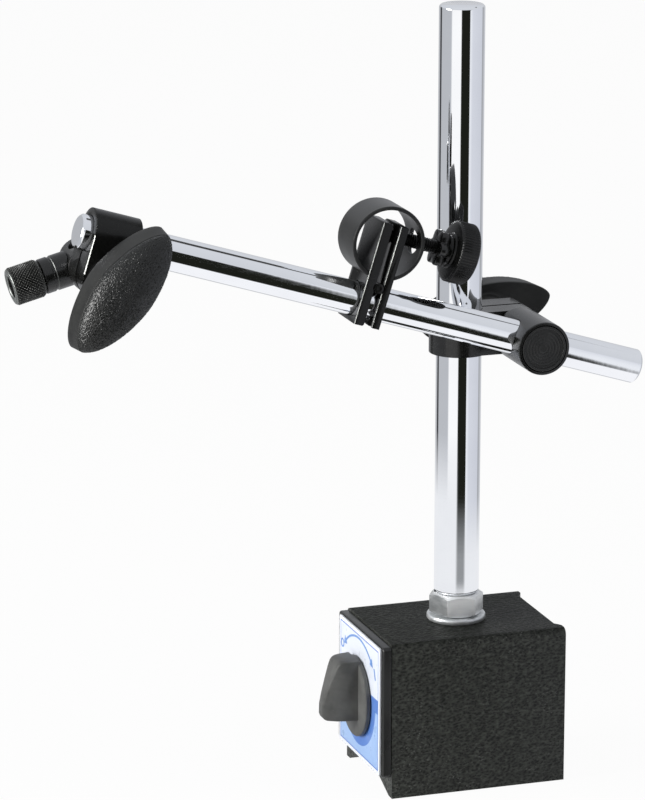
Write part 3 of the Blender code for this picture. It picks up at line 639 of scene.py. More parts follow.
# bright edge colour: wear, and a painted highlight line along the jaw and clamp edges
WORN_EDGE_HIGHLIGHT = make_metal("worn_edge_painted_highlight", dim=(0.44, 0.45, 0.42), lit=(0.70, 0.71, 0.68),
                  rough=(0.30, 0.42), metal=0.5)
FACE = make_metal("worn_grey_face", dim=(0.14, 0.15, 0.14), lit=(0.28, 0.29, 0.28),
                  rough=(0.30, 0.45), metal=0.8)
NUT_PAINTED_LIGHT_SHADE = make_nut_painted_light_shade()
KNURL = make_knurl()
BRASS = make_metal("turned_brass", dim=(0.62, 0.45, 0.18), lit=(0.80, 0.62, 0.30),
                   rough=(0.20, 0.36))
MAGNET = make_metal("sintered_magnet", dim=(0.07, 0.07, 0.075), lit=(0.14, 0.14, 0.15),
                    rough=(0.45, 0.62))
BLUE_INK = make_ink("label_blue_ink", dim=(0.11, 0.25, 0.62), lit=(0.16, 0.33, 0.70), rough=0.35)

# ---- magnetic base ----
front_lo, front_hi = local_box("pole_front", BASE)
HALF_LENGTH, HALF_WIDTH, BLOCK_H = front_hi.x, -front_lo.y, front_hi.z
SPLIT = local_box("pole_rear", BASE)[0].y
VEE_DEPTH, VEE_HALF = 8.0, 21.0
RECESS_DEPTH, RECESS_Y0, RECESS_Y1 = 1.9, 20.3, 17.6  # recess in the +X end, Y of its flank
BORE_R, BORE_END, STUD_R = 16.2, 25.5, 4.9
STUD_HOLE_R = STUD_R + 0.3
SHAFT_HOLE_R = 6.3
SCREWS = [(-19.0, 14.0), (19.0, 14.0), (-19.0, 50.0), (19.0, 50.0)]  # (y, z)


def make_pole(name, side):
    inner, outer = side * SPLIT, side * HALF_WIDTH
    pole = box(-HALF_LENGTH, HALF_LENGTH, min(inner, outer), max(inner, outer), 0, BLOCK_H)
    bevel(pole, 2.4, 8, keep=edges_at(y=outer, z=BLOCK_H))
    y0, y1 = side * RECESS_Y0, side * RECESS_Y1
    flank = [(HALF_LENGTH - RECESS_DEPTH * t, y0 + (y1 - y0) * (t + 0.12 * math.sin(math.pi * t)))
             for t in (0.0, 0.2, 0.4, 0.6, 0.8, 1.0)]
    recess = [(HALF_LENGTH + 2, -side * 2), (HALF_LENGTH + 2, y0), *flank,
              (HALF_LENGTH - RECESS_DEPTH, -side * 2)]
    vee_foot = VEE_HALF * (1 + 1 / VEE_DEPTH)  # half width 1 mm below the floor
    vee = [(-vee_foot, -1.0), (vee_foot, -1.0), (0.6, VEE_DEPTH), (-0.6, VEE_DEPTH)]
    cut(pole, prism(recess, -2, BLOCK_H + 2, "Z"),
        cyl(BORE_R, -40, BORE_END, "X", BORE, 64),
        prism(vee, -50, 50, "X"),
        cyl(STUD_HOLE_R, 48.6, 60, seg=48))
    for y, z in SCREWS:
        if y * side > 0:
            cut(pole, cyl(1.7, -HALF_LENGTH - 1, -HALF_LENGTH + 9, "X", (0, y, z), 24))
    # soften the outer edges of both ends
    bevel(pole, 0.28, 2, keep=lambda start, end: (
        min(abs(start.x), abs(end.x)) > HALF_LENGTH - 2.2
        and abs(start.x - end.x) < 2.5
        and max(abs(start.y), abs(end.y)) > 17))
    place(pole, name, "base", BASE, PAINT)


make_pole("pole_front", -1)
make_pole("pole_rear", 1)


def make_end_cover():
    lo, hi = local_box("end_cover", BASE)
    cover = rounded_slab(lo, hi, 1.5)
    bevel(cover, 0.75, 4, keep=edges_at(x=lo.x))
    cut(cover, cyl(SHAFT_HOLE_R, -40, -30, "X", BORE, 48))
    countersunk = [(0, -30), (1.75, -30), (1.75, lo.x + 1.8), (3.4, lo.x), (3.4, -38), (0, -38)]
    for y, z in SCREWS:
        cut(cover, turned(countersunk, "X", (0, y, z), 32))
    place(cover, "end_cover", "base", BASE, COVER)


make_end_cover()

label_lo, label_hi = local_box("label_plate", BASE)
LABEL_SPLIT_Z = 35.6


def make_label_plate():
    plate = rounded_slab(label_lo, label_hi, 0.9)
    cut(plate, cyl(SHAFT_HOLE_R, -40, -30, "X", BORE, 64))
    bevel(plate, 0.10, 2, 60)
    printed = make_label(
        COLUMN_Y + label_lo.y * MM, COLUMN_Y + label_hi.y * MM, label_lo.z * MM, label_hi.z * MM,
        split_z=LABEL_SPLIT_Z * MM, knob_y=COLUMN_Y, knob_z=BORE_Z * MM)
    place(plate, "label_plate", "base", BASE, printed)


make_label_plate()

# label marks: the angle 0 is up, positive towards -Y (the front edge)
ARROW_R, ARROW_HALF_LINE, ARROW_SPAN, ARROW_HEAD_AT = 21.3, 0.4, 39, 38.5
MARK_PROUD, MARK_SUNK = 0.07, 0.02


def label_point(radius, degrees):
    angle = math.radians(degrees)
    return -radius * math.sin(angle), BORE_Z + radius * math.cos(angle)


def arc_band(inner, outer, span, steps=28):
    there = [-span + 2 * span * i / steps for i in range(steps + 1)]
    return ([label_point(outer, degrees) for degrees in there]
            + [label_point(inner, degrees) for degrees in reversed(there)])


def arrow_head(degrees, sign, half_width=1.7, length=2.9):
    angle = math.radians(degrees)
    centre = Vector(label_point(ARROW_R, degrees))
    along = Vector((-math.cos(angle), -math.sin(angle))) * sign
    outward = Vector((-math.sin(angle), math.cos(angle)))
    return [tuple(centre + along * length), tuple(centre + outward * half_width),
            tuple(centre - outward * half_width)]


def decal(name, outlines):
    first, *rest = [prism(outline, label_lo.x - MARK_PROUD, label_lo.x + MARK_SUNK, "X")
                    for outline in outlines]
    unite(first, *rest)
    place(first, name, "base", BASE, BLUE_INK, extra=True)


decal("label_turn_arrow", [
    arc_band(ARROW_R - ARROW_HALF_LINE, ARROW_R + ARROW_HALF_LINE, ARROW_SPAN),
    arrow_head(ARROW_HEAD_AT, 1), arrow_head(-ARROW_HEAD_AT, -1)])
# an open ring at one end of the arrow and a slanted bar at the other
ring_mark = turned([(1.7, MARK_SUNK), (1.7, -MARK_PROUD), (1.1, -MARK_PROUD), (1.1, MARK_SUNK)],
                   "X", (label_lo.x, 17.2, BORE_Z + 14.4), 32, closed=True)
place(ring_mark, "label_mark_off", "base", BASE, BLUE_INK, extra=True)
decal("label_mark_on", [[(-18.9, BORE_Z + 11.2), (-17.9, BORE_Z + 11.2),
                         (-16.4, BORE_Z + 15.0), (-17.4, BORE_Z + 15.0)]])

# switch grip: side view (x, z above the bore) and plan (x, y)
GRIP_SIDE = [
    (-38.2, -7.6), (-49.4, -7.6), (-50.4, -7.0), (-51.0, -5.6), (-50.9, -2.0), (-49.9, 2.0),
    (-48.3, 7.0), (-46.9, 11.0), (-46.0, 13.0), (-45.2, 13.9), (-44.0, 14.3), (-38.2, 14.6)]
GRIP_PLAN = [
    (-37.5, -6.2), (-42.5, -5.7), (-46.2, -4.7), (-49.4, -2.9), (-51.0, -2.0), (-52.4, -1.4),
    (-52.4, 1.4), (-51.0, 2.0), (-49.4, 2.9), (-46.2, 4.7), (-42.5, 5.7), (-37.5, 6.2)]


def make_switch():
    lo, hi = local_box("switch_knob", BASE)
    radius, back = (hi.z - lo.z) / 2, hi.x
    knob = turned([(0, back), (radius - 0.3, back), (radius, back - 0.3), (radius, back - 1.5),
                   (radius - 0.15, back - 1.75), (radius - 0.5, back - 1.9), (0, back - 1.9)],
                  "X", BORE, 120)
    grip = prism(GRIP_SIDE, -9, 9, "Y")
    combine("INTERSECT", grip, prism(GRIP_PLAN, -30, 30, "Z"))
    bevel(grip, 0.7, 3, 28)
    grip.data.transform(Matrix.Translation((0, 0, BORE_Z * MM)))
    unite(knob, grip)
    cut(knob, cyl(4.15, -45.1, -36, "X", BORE, 32))
    place(knob, "switch_knob", "switch", BASE, SWITCH, 26)


make_switch()

# ---- column, nut and washer ----
COLUMN_FOOT = 66.7
THREAD_DEPTH, THREAD_STEP = 0.45, 0.55
NUT_FLATS, NUT_TURN = 17.0, -8.2


def make_column():
    top, foot = COLUMN_TOP, COLUMN_FOOT
    thread = [(STUD_R + (0.0 if i % 2 else -THREAD_DEPTH), foot - i * THREAD_STEP)
              for i in range(31)]
    column = turned([
        (0, top), (COLUMN_R - 0.75, top), (COLUMN_R - 0.55, top - 0.12),
        (COLUMN_R - 0.1, top - 0.6), (COLUMN_R, top - 0.9), (COLUMN_R, foot + 1.0),
        (COLUMN_R - 0.15, foot + 0.6), (COLUMN_R - 0.8, foot),
        *thread, (STUD_R - 0.8, 49.1), (0, 49.1)], seg=192)
    place(column, "column", "column", BASE, CHROME_COLUMN, 40)


def make_hex_nut():
    lo, hi = local_box("hex_nut", BASE)
    nut = cyl(NUT_FLATS / 2 / math.cos(math.pi / 6), lo.z, hi.z, seg=6)
    combine("INTERSECT", nut, turned([
        (0, hi.z + 0.01), (7.9, hi.z + 0.01), (10.4, hi.z - 1.35),
        (10.4, lo.z + 1.1), (8.2, lo.z - 0.01), (0, lo.z - 0.01)], seg=144))
    cut(nut, cyl(STUD_HOLE_R, 50, 70, seg=64))
    bevel(nut, 0.16, 2, 24)
    nut.data.transform(Matrix.Rotation(math.radians(NUT_TURN), 4, "Z"))
    place(nut, "hex_nut", "base", BASE, NUT_PAINTED_LIGHT_SHADE, 20)


def make_washer():
    lo, hi = local_box("washer", BASE)
    radius, hole = (hi.x - lo.x) / 2, STUD_R + 0.35
    washer = turned([
        (hole, hi.z), (radius - 0.6, hi.z), (radius - 0.2, hi.z - 0.14), (radius, hi.z - 0.5),
        (radius, lo.z + 0.4), (radius - 0.3, lo.z), (hole, lo.z)], seg=128, closed=True)
    place(washer, "washer", "base", BASE, ZINC, 40)


make_column()
make_hex_nut()
make_washer()

# ---- cross clamp ----
JAW_Y, JAW_END_R = 9.2, 9.35
SLIT_HALF = 0.6
ARM_HOLE_R = 6.2


def make_clamp_block():
    lo, hi = local_box("clamp_block", SWUNG)
    bolt = (BOLT_X, 0, BOLT_Z)
    block = cyl(-lo.x, lo.z, hi.z, seg=144)
    jaws = box(0, BOLT_X, -JAW_Y, JAW_Y, lo.z, hi.z)
    jaw_end = cyl(JAW_END_R, -JAW_Y, JAW_Y, "Y", bolt, 128)
    combine("INTERSECT", jaw_end, box(-5, 40, -20, 20, lo.z, hi.z))
    unite(jaws, jaw_end)
    unite(block, jaws)
    cut(block, cyl(COLUMN_R + 0.15, 100, 220, seg=96),
        box(5.0, 40, -SLIT_HALF, SLIT_HALF, 100, 220),
        cyl(4.35, -20, 20, "Y", bolt, 48))
    bevel(block, 0.45, 3, 40)
    place(block, "clamp_block", "cross_clamp", SWUNG, GLOSS)


make_clamp_block()

sleeve_lo, sleeve_hi = local_box("arm_sleeve", ARM)
SLEEVE_Y0, SLEEVE_Y1 = sleeve_lo.y, sleeve_hi.y
SLEEVE_R = (sleeve_hi.x - sleeve_lo.x) / 2


def make_sleeve():
    low, high, radius = SLEEVE_Y0, SLEEVE_Y1, SLEEVE_R
    sleeve = turned([
        (4.4, high), (radius - 0.6, high), (radius - 0.18, high - 0.18), (radius, high - 0.6),
        (radius, low + 0.55), (radius - 0.15, low + 0.15), (radius - 0.5, low), (8.45, low),
        (8.35, low + 0.1), (8.35, high - 3.2), (4.4, high - 3.2)], "Y", seg=160, closed=True)
    cut(sleeve, cyl(ARM_HOLE_R, -30, 30, "X", seg=96))
    bevel(sleeve, 0.15, 2, 50)
    place(sleeve, "arm_sleeve", "sleeve", ARM, GLOSS)


def make_end_cap():
    """Closes the -Y end of the sleeve; its dished face has five raised rings."""
    face = SLEEVE_Y0
    rings = []
    for r in (6.1, 5.0, 3.9, 2.8, 1.7):
        rings += [(r, face + 0.42), (r - 0.16, face + 0.30), (r - 0.40, face + 0.30),
                  (r - 0.56, face + 0.42)]
    cap = turned([
        (0, face + 2.5), (8.1, face + 2.5), (8.1, face + 0.35), (7.95, face + 0.1), (7.75, face),
        (7.3, face), (7.12, face + 0.12), (6.95, face + 0.42), *rings, (0, face + 0.42)],
        "Y", seg=144)
    place(cap, "sleeve_end_cap", "sleeve", ARM, COVER, 20)


make_sleeve()
make_end_cap()

# ---- wing knobs ----
KNOB_A, KNOB_B = 24.7, 10.5  # half length and half width
KNOB_WALL, KNOB_DOME, KNOB_POWER, DRAFT = 10.6, 6.5, 1.67, 0.965
KNOB_COUNT, DOME_STEPS = 460, 84
DOME_A, DOME_B = DRAFT - 0.008, DRAFT - 0.016  # scale of the dome's foot


def lens(angle, half_length, half_width, power):
    c, s = math.cos(angle), math.sin(angle)
    return (half_length * math.copysign(abs(c) ** (2 / power), c),
            half_width * math.copysign(abs(s) ** (2 / power), s))


def wing_knob(name, frame, centre, direction, turn, gap):
    """Round neck, lens-shaped wall and pebbled dome; it points along direction * Y."""
    rot = Matrix.Rotation(math.radians(-turn), 3, "Y")
    top = gap + KNOB_WALL
    # levels: (half length, half width, height, power, pebble)
    levels = [(r, r, h, 2, 0) for r, h in (
        (5.7, gap + 12.5), (5.7, 7.0), (5.7, 1.75), (5.9, 1.6), (6.45, 1.6), (6.75, 1.9),
        (6.8, 2.4), (6.8, gap - 1.0))]
    levels += [(7.2, 7.0, gap - 0.35, 2, 0), (8.2, 7.4, gap - 0.05, 2, 0)]
    for k in (0.45, 0.6, 0.75, 0.88, 0.96):
        levels.append((KNOB_A * k, KNOB_B * (0.55 + 0.45 * k), gap - 0.02 * (1 - k),
                       2.0 + (KNOB_POWER - 2.0) * k, 0))
    for scale_a, scale_b, rise in ((0.982, 0.975, 0.05), (0.994, 0.99, 0.25), (1, 1, 0.65)):
        levels.append((KNOB_A * scale_a, KNOB_B * scale_b, gap + rise, KNOB_POWER, 0))
    for k in (0.2, 0.4, 0.6, 0.8, 0.95, 0.985):
        f = 1 + (DRAFT - 1) * k
        levels.append((KNOB_A * f, KNOB_B * f, gap + 0.65 + (KNOB_WALL - 0.65) * k,
                       KNOB_POWER, 0))
    # a crisp little step parts the smooth wall from the pebbled dome
    levels += [(KNOB_A * (DRAFT - 0.002), KNOB_B * (DRAFT - 0.004), top, KNOB_POWER, 0),
               (KNOB_A * DOME_A, KNOB_B * DOME_B, top + 0.12, KNOB_POWER, 0.3)]
    wall_count = len(levels)
    for i in range(1, DOME_STEPS):
        angle = math.radians(90 * i / DOME_STEPS)
        k = math.sin(angle)
        f = DOME_A * math.cos(angle) ** 0.92
        levels.append((KNOB_A * f, KNOB_B * DOME_B / DOME_A * f,
                       top + 0.12 + (KNOB_DOME - 0.12) * k, KNOB_POWER + 0.33 * k,
                       min(1.0, 0.4 + i * 0.12)))
    seed = Vector((3.1, 1.7, 0.4)) if direction < 0 else Vector((11.3, 4.2, 7.9))

    def point(level, t):
        a, b, height, power, pebble = level
        u, w = lens(math.tau * t, a, b, power)
        if pebble > 0:
            spot = Vector((u, w, height))
            near = noise.voronoi(spot * 1.85 + seed)[0]
            grain = (0.55 - min(1.0, (near[1] - near[0]) * 1.6)
                     + 0.5 * noise.noise(spot * 2.6 + seed))
            out = Vector((u / max(a, 1) * 0.4, w / max(b, 1) * 0.4, 0.85)).normalized()
            push = -0.25 * pebble * grain
            u, w, height = u + out.x * push, w + out.y * push, height + out.z * push
            height = min(height, top + KNOB_DOME)
        spun = rot @ Vector((u, 0, w))
        return centre[0] + spun.x, centre[1] + direction * height, centre[2] + spun.z

    knob = loft(levels, KNOB_COUNT, point)
    for _ in range(2):
        knob.data.materials.append(None)
    # faces run level by level, then the fan on the neck, then the fan on the dome
    dome_start = KNOB_COUNT * (wall_count - 1)
    fans_start = KNOB_COUNT * (len(levels) - 1)
    for i, face in enumerate(knob.data.polygons):
        on_dome = dome_start <= i < fans_start or i >= fans_start + KNOB_COUNT
        face.material_index = 1 if on_dome else 0
    place(knob, name, name, frame, [WALL, PEBBLE], 42)


END_X, END_Z, END_R, END_HALF = -158.9, -12.5, 8.8, 8.25
END_BOLT = (END_X, 0, END_Z)
wing_knob("rear_knob", SWUNG, (BOLT_X, JAW_Y, BOLT_Z), direction=1, turn=11.3, gap=12.4)
wing_knob("front_knob", ARM, (END_X, -END_R, END_Z), direction=-1, turn=67.8, gap=10.6)


# ---- cross arm ----
def make_arm():
    lo, hi = local_box("cross_arm", ARM)
    radius = (hi.y - lo.y) / 2
    arm = turned([
        (0, hi.x), (radius - 0.8, hi.x), (radius - 0.65, hi.x - 0.1), (radius - 0.1, hi.x - 0.65),
        (radius, hi.x - 0.85), (radius, lo.x + 0.85), (radius - 0.1, lo.x + 0.65),
        (radius - 0.65, lo.x + 0.1), (radius - 0.8, lo.x), (0, lo.x)], "X", seg=160)
    place(arm, "cross_arm", "arm", ARM, CHROME_ARM, 24)


make_arm()

# ---- dovetail holder ----
SCREW_Z = 23.8
SCREW_AT = (0, 0, SCREW_Z)
JAW_Y0, JAW_Y1, JAW_Z0, JAW_Z1 = -8.0, 8.8, -7.6, 28.5
JAWS = []  # (x0, x1) of the left and right jaw
for jaw_node in ("holder_jaw_left", "holder_jaw_right"):
    jaw_lo, jaw_hi = local_box(jaw_node, ARM)
    JAWS.append((jaw_lo.x, jaw_hi.x))
JAWS_X0, JAWS_X1 = JAWS[0][0], JAWS[1][1]
PIN_AT = ((JAWS[0][1] + JAWS[1][0]) / 2, 0, 6.2)
RING_AT, RING_R, RING_WALL = (-65.0, 0, 21.8), 13.0, 1.3


def make_jaw(name, x0, x1, inner):
    """Jaw whose inner side, with the dovetail cut, faces inner * X."""
    jaw = box(x0, x1, JAW_Y0, JAW_Y1, JAW_Z0, JAW_Z1)
    bevel(jaw, 2.6, 6, keep=lambda start, end: (
        abs(start.x - end.x) > 0.1 and start.z > JAW_Z1 - 0.1 and start.y > 0))
    # the -X, -Y edge is worn to bright metal; its bright colour also paints the highlight line
    # along it
    bevel(jaw, 0.22, 1, keep=edges_at(x=x0, y=JAW_Y0))
    edge = x1 if inner > 0 else x0
    depth = 1.1 * inner
    dovetail = [(edge + inner, JAW_Y0 + 0.9), (edge - depth * 0.25, JAW_Y0 + 1.2),
                (edge - depth, JAW_Y0 + 3.8), (edge + inner, JAW_Y0 + 3.8)]
    foot = [(edge + inner, JAW_Z0 - 1), (edge - depth * 1.1, JAW_Z0 - 1),
            (edge + inner, JAW_Z0 + 1.8)]
    cut(jaw, cyl(ARM_HOLE_R, -90, -50, "X", seg=96),
        cyl(2.7, JAWS_X0 + 0.9, -50, "X", SCREW_AT, 32),
        prism(dovetail, -20, 60, "Z"),
        prism(foot, -20, 20, "Y"),
        cyl(2.1, -9, -5.0, "Y", PIN_AT, 32))
    bevel(jaw, 0.12, 2, 50)
    tag_faces(jaw, lambda centre, normal: (
        centre.y < JAW_Y0 + 0.45 and centre.x < x0 + 0.45 and normal.x < -0.3
        and normal.y < -0.3))
    place(jaw, name, "holder", ARM, [OXIDE, WORN_EDGE_HIGHLIGHT], 25)


make_jaw("holder_jaw_left", *JAWS[0], inner=1)
make_jaw("holder_jaw_right", *JAWS[1], inner=-1)


def make_pin():
    lo, hi = local_box("holder_pin", ARM)
    pin = turned([
        (0, hi.y), (1.5, hi.y), (1.8, hi.y - 0.3), (1.8, lo.y + 0.35), (1.68, lo.y + 0.1),
        (1.4, lo.y), (0.9, lo.y), (0.75, lo.y + 0.3), (0, lo.y + 0.35)], "Y", PIN_AT, 48)
    place(pin, "holder_pin", "holder", ARM, OXIDE)


def make_holder_ring():
    inner = RING_R - RING_WALL
    ring = turned([
        (inner, 8.2), (RING_R - 0.25, 8.2), (RING_R, 7.95), (RING_R, -7.65),
        (RING_R - 0.25, -7.9), (inner + 0.2, -7.9), (inner, -7.7)],
        "Y", RING_AT, 176, closed=True)
    cut(ring, box(JAWS_X0 - 0.3, JAWS_X1 + 0.3, -10, 10, 5, RING_AT[2] - 8.5),
        cyl(4.4, -58, -50, "X", SCREW_AT, 64))
    place(ring, "holder_ring", "holder", ARM, SHEEN)


def make_thumb_screw():
    lo, hi = local_box("thumb_screw", ARM)
    pitch = 0.8
    profile = [(0, hi.x), (2.0, hi.x)]
    x = hi.x - 0.3
    while x > lo.x + pitch:
        profile += [(2.4, x), (2.4, x - 0.12), (2.05, x - 0.4), (2.05, x - 0.5)]
        x -= pitch
    profile += [(2.0, lo.x + 0.2), (1.7, lo.x), (0, lo.x)]
    screw = turned(profile, "X", SCREW_AT, 48)
    place(screw, "thumb_screw", "thumb_knob", ARM, OXIDE)


def around_screw(radius, x, t):
    return x, radius * math.cos(math.tau * t), SCREW_Z + radius * math.sin(math.tau * t)


def make_lock_nut():
    """Six full round lobes with broken edges."""
    lo, hi = local_box("lobed_lock_nut", ARM)

    def point(level, t):
        radius, x, lobed = level
        if lobed:
            radius *= 5.0 + 1.6 * (0.5 + 0.5 * math.cos(6 * math.tau * t)) ** 0.7
        return around_screw(radius, x, t)

    # levels: (radius, or scale where lobed; x; lobed)
    nut = loft([
        (2.65, lo.x, False), (3.6, lo.x, False), (0.90, lo.x, True), (0.97, lo.x + 0.15, True),
        (1.0, lo.x + 0.5, True), (1.0, hi.x - 0.5, True), (0.97, hi.x - 0.15, True),
        (0.90, hi.x, True), (3.6, hi.x, False), (2.65, hi.x, False)],
        240, point, ring_closed=True)
    place(nut, "lobed_lock_nut", "lock_nut", ARM, GLOSS, 35)


# thumb knob: fine straight knurl on the rim, smooth cone and hub at -X, shallow dish at +X
DISC_X0, DISC_X1, RIDGES = -39.6, -32.4, 66
# (radius, x from DISC_X0 or DISC_X1, share of the knurl)
HUB_LEVELS = [
    (2.65, -2.3, 0), (4.7, -2.3, 0), (5.0, -2.0, 0), (5.0, -1.3, 0), (5.15, -1.0, 0),
    (6.0, -0.75, 0), (6.2, -0.45, 0), (6.35, -0.2, 0), (8.2, -0.05, 0), (9.6, 0.05, 0),
    (9.9, 0.15, 0.1), (10.3, 0.45, 0.6), (10.6, 0.8, 1), (10.6, 2.0, 1), (10.6, 3.4, 1)]
DISH_LEVELS = [
    (10.6, -0.8, 1), (10.3, -0.4, 0.6), (9.9, -0.08, 0.1), (9.6, 0, 0), (8.6, 0, 0),
    (8.3, -0.1, 0), (7.7, -0.6, 0), (7.4, -0.65, 0), (3.0, -0.65, 0), (2.65, -0.9, 0)]


def make_thumb_knob():
    def point(level, t):
        radius, x, ridge = level
        phase = (t * RIDGES) % 1.0
        radius += 0.26 * ridge * (1 - abs(2 * phase - 1)) - 0.13 * ridge
        return around_screw(radius, x, t)

    levels = [(r, start + x, ridge)
              for start, table in ((DISC_X0, HUB_LEVELS), (DISC_X1, DISH_LEVELS))
              for r, x, ridge in table]
    knob = loft(levels, 396, point, ring_closed=True)
    place(knob, "thumb_knob", "thumb_knob", ARM, OXIDE, 35)


make_pin()
make_holder_ring()
make_thumb_screw()
make_lock_nut()
make_thumb_knob()


# ---- arm-end clamp ----
def make_end_block():
    x0, x1 = END_X - END_HALF, END_X + END_HALF
    block = cyl(END_R, x0, x1, "X", seg=128)
    legs = box(x0, x1, -END_R, END_R, END_Z, 0)
    unite(legs, cyl(END_HALF, -END_R, END_R, "Y", END_BOLT, 128))
    unite(block, legs)
    cut(block, cyl(ARM_HOLE_R, -190, -140, "X", seg=96),
        box(-190, -140, -SLIT_HALF, SLIT_HALF, -40, -4),
        cyl(3.25, -20, 20, "Y", END_BOLT, 32))
    bevel(block, 0.22, 2, 40)
    # the -X, -Y edge is worn to bright metal; its bright colour also paints the highlight line
    # along it
    corner = [(x0 - 1, -END_R - 1), (x0 + 1.26, -END_R - 1), (x0 - 1, -END_R + 1.26)]
    cut(block, prism(corner, END_Z, 1.0, "Z"))
    tag_faces(block, lambda centre, normal: (
        centre.x < END_X and normal.y < -0.25 and normal.x < -0.25 and centre.z < 6.5
        and centre.y < -4))
    place(block, "end_clamp_block", "end_clamp", ARM, [OXIDE, WORN_EDGE_HIGHLIGHT], 28)


HEAD_R, HEAD_Y0, HEAD_Y1 = 7.5, 11.6, 25.4
HEAD_CENTRE = Vector((END_X, (HEAD_Y0 + HEAD_Y1) / 2, END_Z)) * MM
stem_axis = (ARM.to_3x3().inverted() @ Vector(JOINTS["stem_nut_turn"]["axis"])).normalized()


def head_frame(direction):
    """Frame at the middle of the swivel head with Z along the direction."""
    turn = direction.to_track_quat("Z", "Y").to_matrix().to_4x4()
    return Matrix.Translation(HEAD_CENTRE) @ turn


STEM = head_frame(stem_axis)
CROSS_HOLE = head_frame(Vector((-stem_axis.z, 0, stem_axis.x)))
stem_inverse = STEM.inverted()


def stem_height(centre):
    return (stem_inverse @ (centre * MM)).z / MM


def make_swivel_head():
    head = turned([
        (0, HEAD_Y1), (HEAD_R - 0.8, HEAD_Y1), (HEAD_R - 0.2, HEAD_Y1 - 0.2),
        (HEAD_R, HEAD_Y1 - 0.8), (HEAD_R, HEAD_Y0 + 0.5), (HEAD_R - 0.12, HEAD_Y0 + 0.15),
        (HEAD_R - 0.45, HEAD_Y0), (2.9, HEAD_Y0), (2.9, -END_R - 19.6), (0, -END_R - 19.6)],
        "Y", END_BOLT, 128)
    cut(head, cyl(4.05, -20, 20, seg=64, matrix=CROSS_HOLE),
        cyl(2.8, 0, 20, seg=32, matrix=STEM))
    bevel(head, 0.18, 2, 40)
    place(head, "swivel_head", "swivel", ARM, GLOSS)


def make_stem_stud():
    thread = [(2.4 if k % 2 else 2.05, 24.3 - 0.4 * k) for k in range(0, 20)]
    stud = turned([(0, 25.4), (1.5, 25.4), (2.1, 25.1), (2.4, 24.6), *thread,
                   (2.3, 5.0), (2.0, 4.5), (0, 4.5)], seg=48, matrix=STEM)
    place(stud, "stem_stud", "swivel", ARM, ZINC, 35)


def make_stem_collar():
    """Collar with a groove whose side faces are worn grey."""
    collar = turned([
        (2.7, 15.6), (5.75, 15.6), (6.0, 15.48), (6.1, 15.2), (6.1, 12.45), (6.0, 12.3),
        (5.78, 12.15), (5.78, 11.45), (6.0, 11.3), (6.1, 11.15), (6.1, 6.0), (2.7, 6.0)],
        closed=True, seg=112, matrix=STEM)
    cut(collar, cyl(HEAD_R + 0.25, -5, 30, "Y", END_BOLT, 128))
    tag_faces(collar, lambda centre, normal: (
        11.3 < stem_height(centre) < 12.3 and abs((stem_inverse.to_3x3() @ normal).z) > 0.3))
    place(collar, "stem_collar", "swivel", ARM, [GLOSS, FACE], 35)


def make_stem_nut():
    """Diamond knurl cut into the surface, dished outer face."""
    diamonds, radius, start = 34, 6.65, 15.9

    def point(level, t):
        r, height, share = level
        if share:
            u = t * diamonds
            v = (height - start) / (math.tau * radius / diamonds)
            rising = abs(((u + v) % 1.0) * 2 - 1)
            falling = abs(((u - v) % 1.0) * 2 - 1)
            r -= 0.58 * share * max(1 - rising * 1.15, 1 - falling * 1.15, 0.0) ** 0.9
        spot = Vector((r * math.cos(math.tau * t), r * math.sin(math.tau * t), height))
        return tuple((STEM @ (spot * MM)) / MM)

    # levels: (radius, height, share of the knurl)
    levels = [(2.7, start, 0), (5.7, start, 0), (6.1, 16.2, 0), (6.4, 16.6, 0.2),
              (6.6, 16.85, 0.7)]
    levels += [(radius, 17.05 + 0.2 * k, 1) for k in range(0, 45)]
    levels += [(6.5, 26.1, 0.6), (6.25, 26.45, 0.15), (5.95, 26.7, 0), (5.7, 26.8, 0),
               (4.3, 26.8, 0), (4.0, 26.65, 0), (3.9, 26.3, 0), (3.8, 24.8, 0),
               (2.9, 24.7, 0), (2.7, 24.5, 0)]
    nut = loft(levels, 272, point, ring_closed=True)
    tag_faces(nut, lambda centre, normal: stem_height(centre) > 26.40)
    place(nut, "stem_nut", "stem_nut", ARM, [KNURL, FACE], 50)


make_end_block()
make_swivel_head()
make_stem_stud()
make_stem_collar()
make_stem_nut()

# ---- CAD nodes that stay ----
KEPT_NODES = (
    (PAINT, "divider_upper"),
    (BRASS, "divider_lower switch_shaft rear_knob_insert front_knob_insert"),
    (ZINC, "cover_screw_1 cover_screw_2 cover_screw_3 cover_screw_4 clamp_thrust_washer "
           "end_thrust_washer friction_washer eye_bolt"),
    (MAGNET, "magnet_rotor"),
)
for kept_mat, node_names in KEPT_NODES:
    for node_name in node_names.split():
        slots = NODES[node_name].data.materials
        slots.clear()
        slots.append(kept_mat)

bpy.data.collections.remove(scratch)

# ---- floor, camera, lights ----
RIGHT = Vector((0.9478926, -0.3185832, 0.0020809))
DOWN = Vector((-0.0790651, -0.2415627, -0.9671588))
FORWARD = Vector((0.3086232, 0.9165982, -0.2541643))
CAMERA_X, CAMERA_Y, CAMERA_Z = -0.51752235, -1.38740122, 0.52544715  # X, Y from the column
LENS = 195.66
LIGHT_TARGET = Vector((0, 0, 0.14))
toward = Vector((-FORWARD.x, -FORWARD.y, 0)).normalized()  # level, towards the camera
side = Vector((RIGHT.x, RIGHT.y, 0)).normalized()  # level, to the camera's right


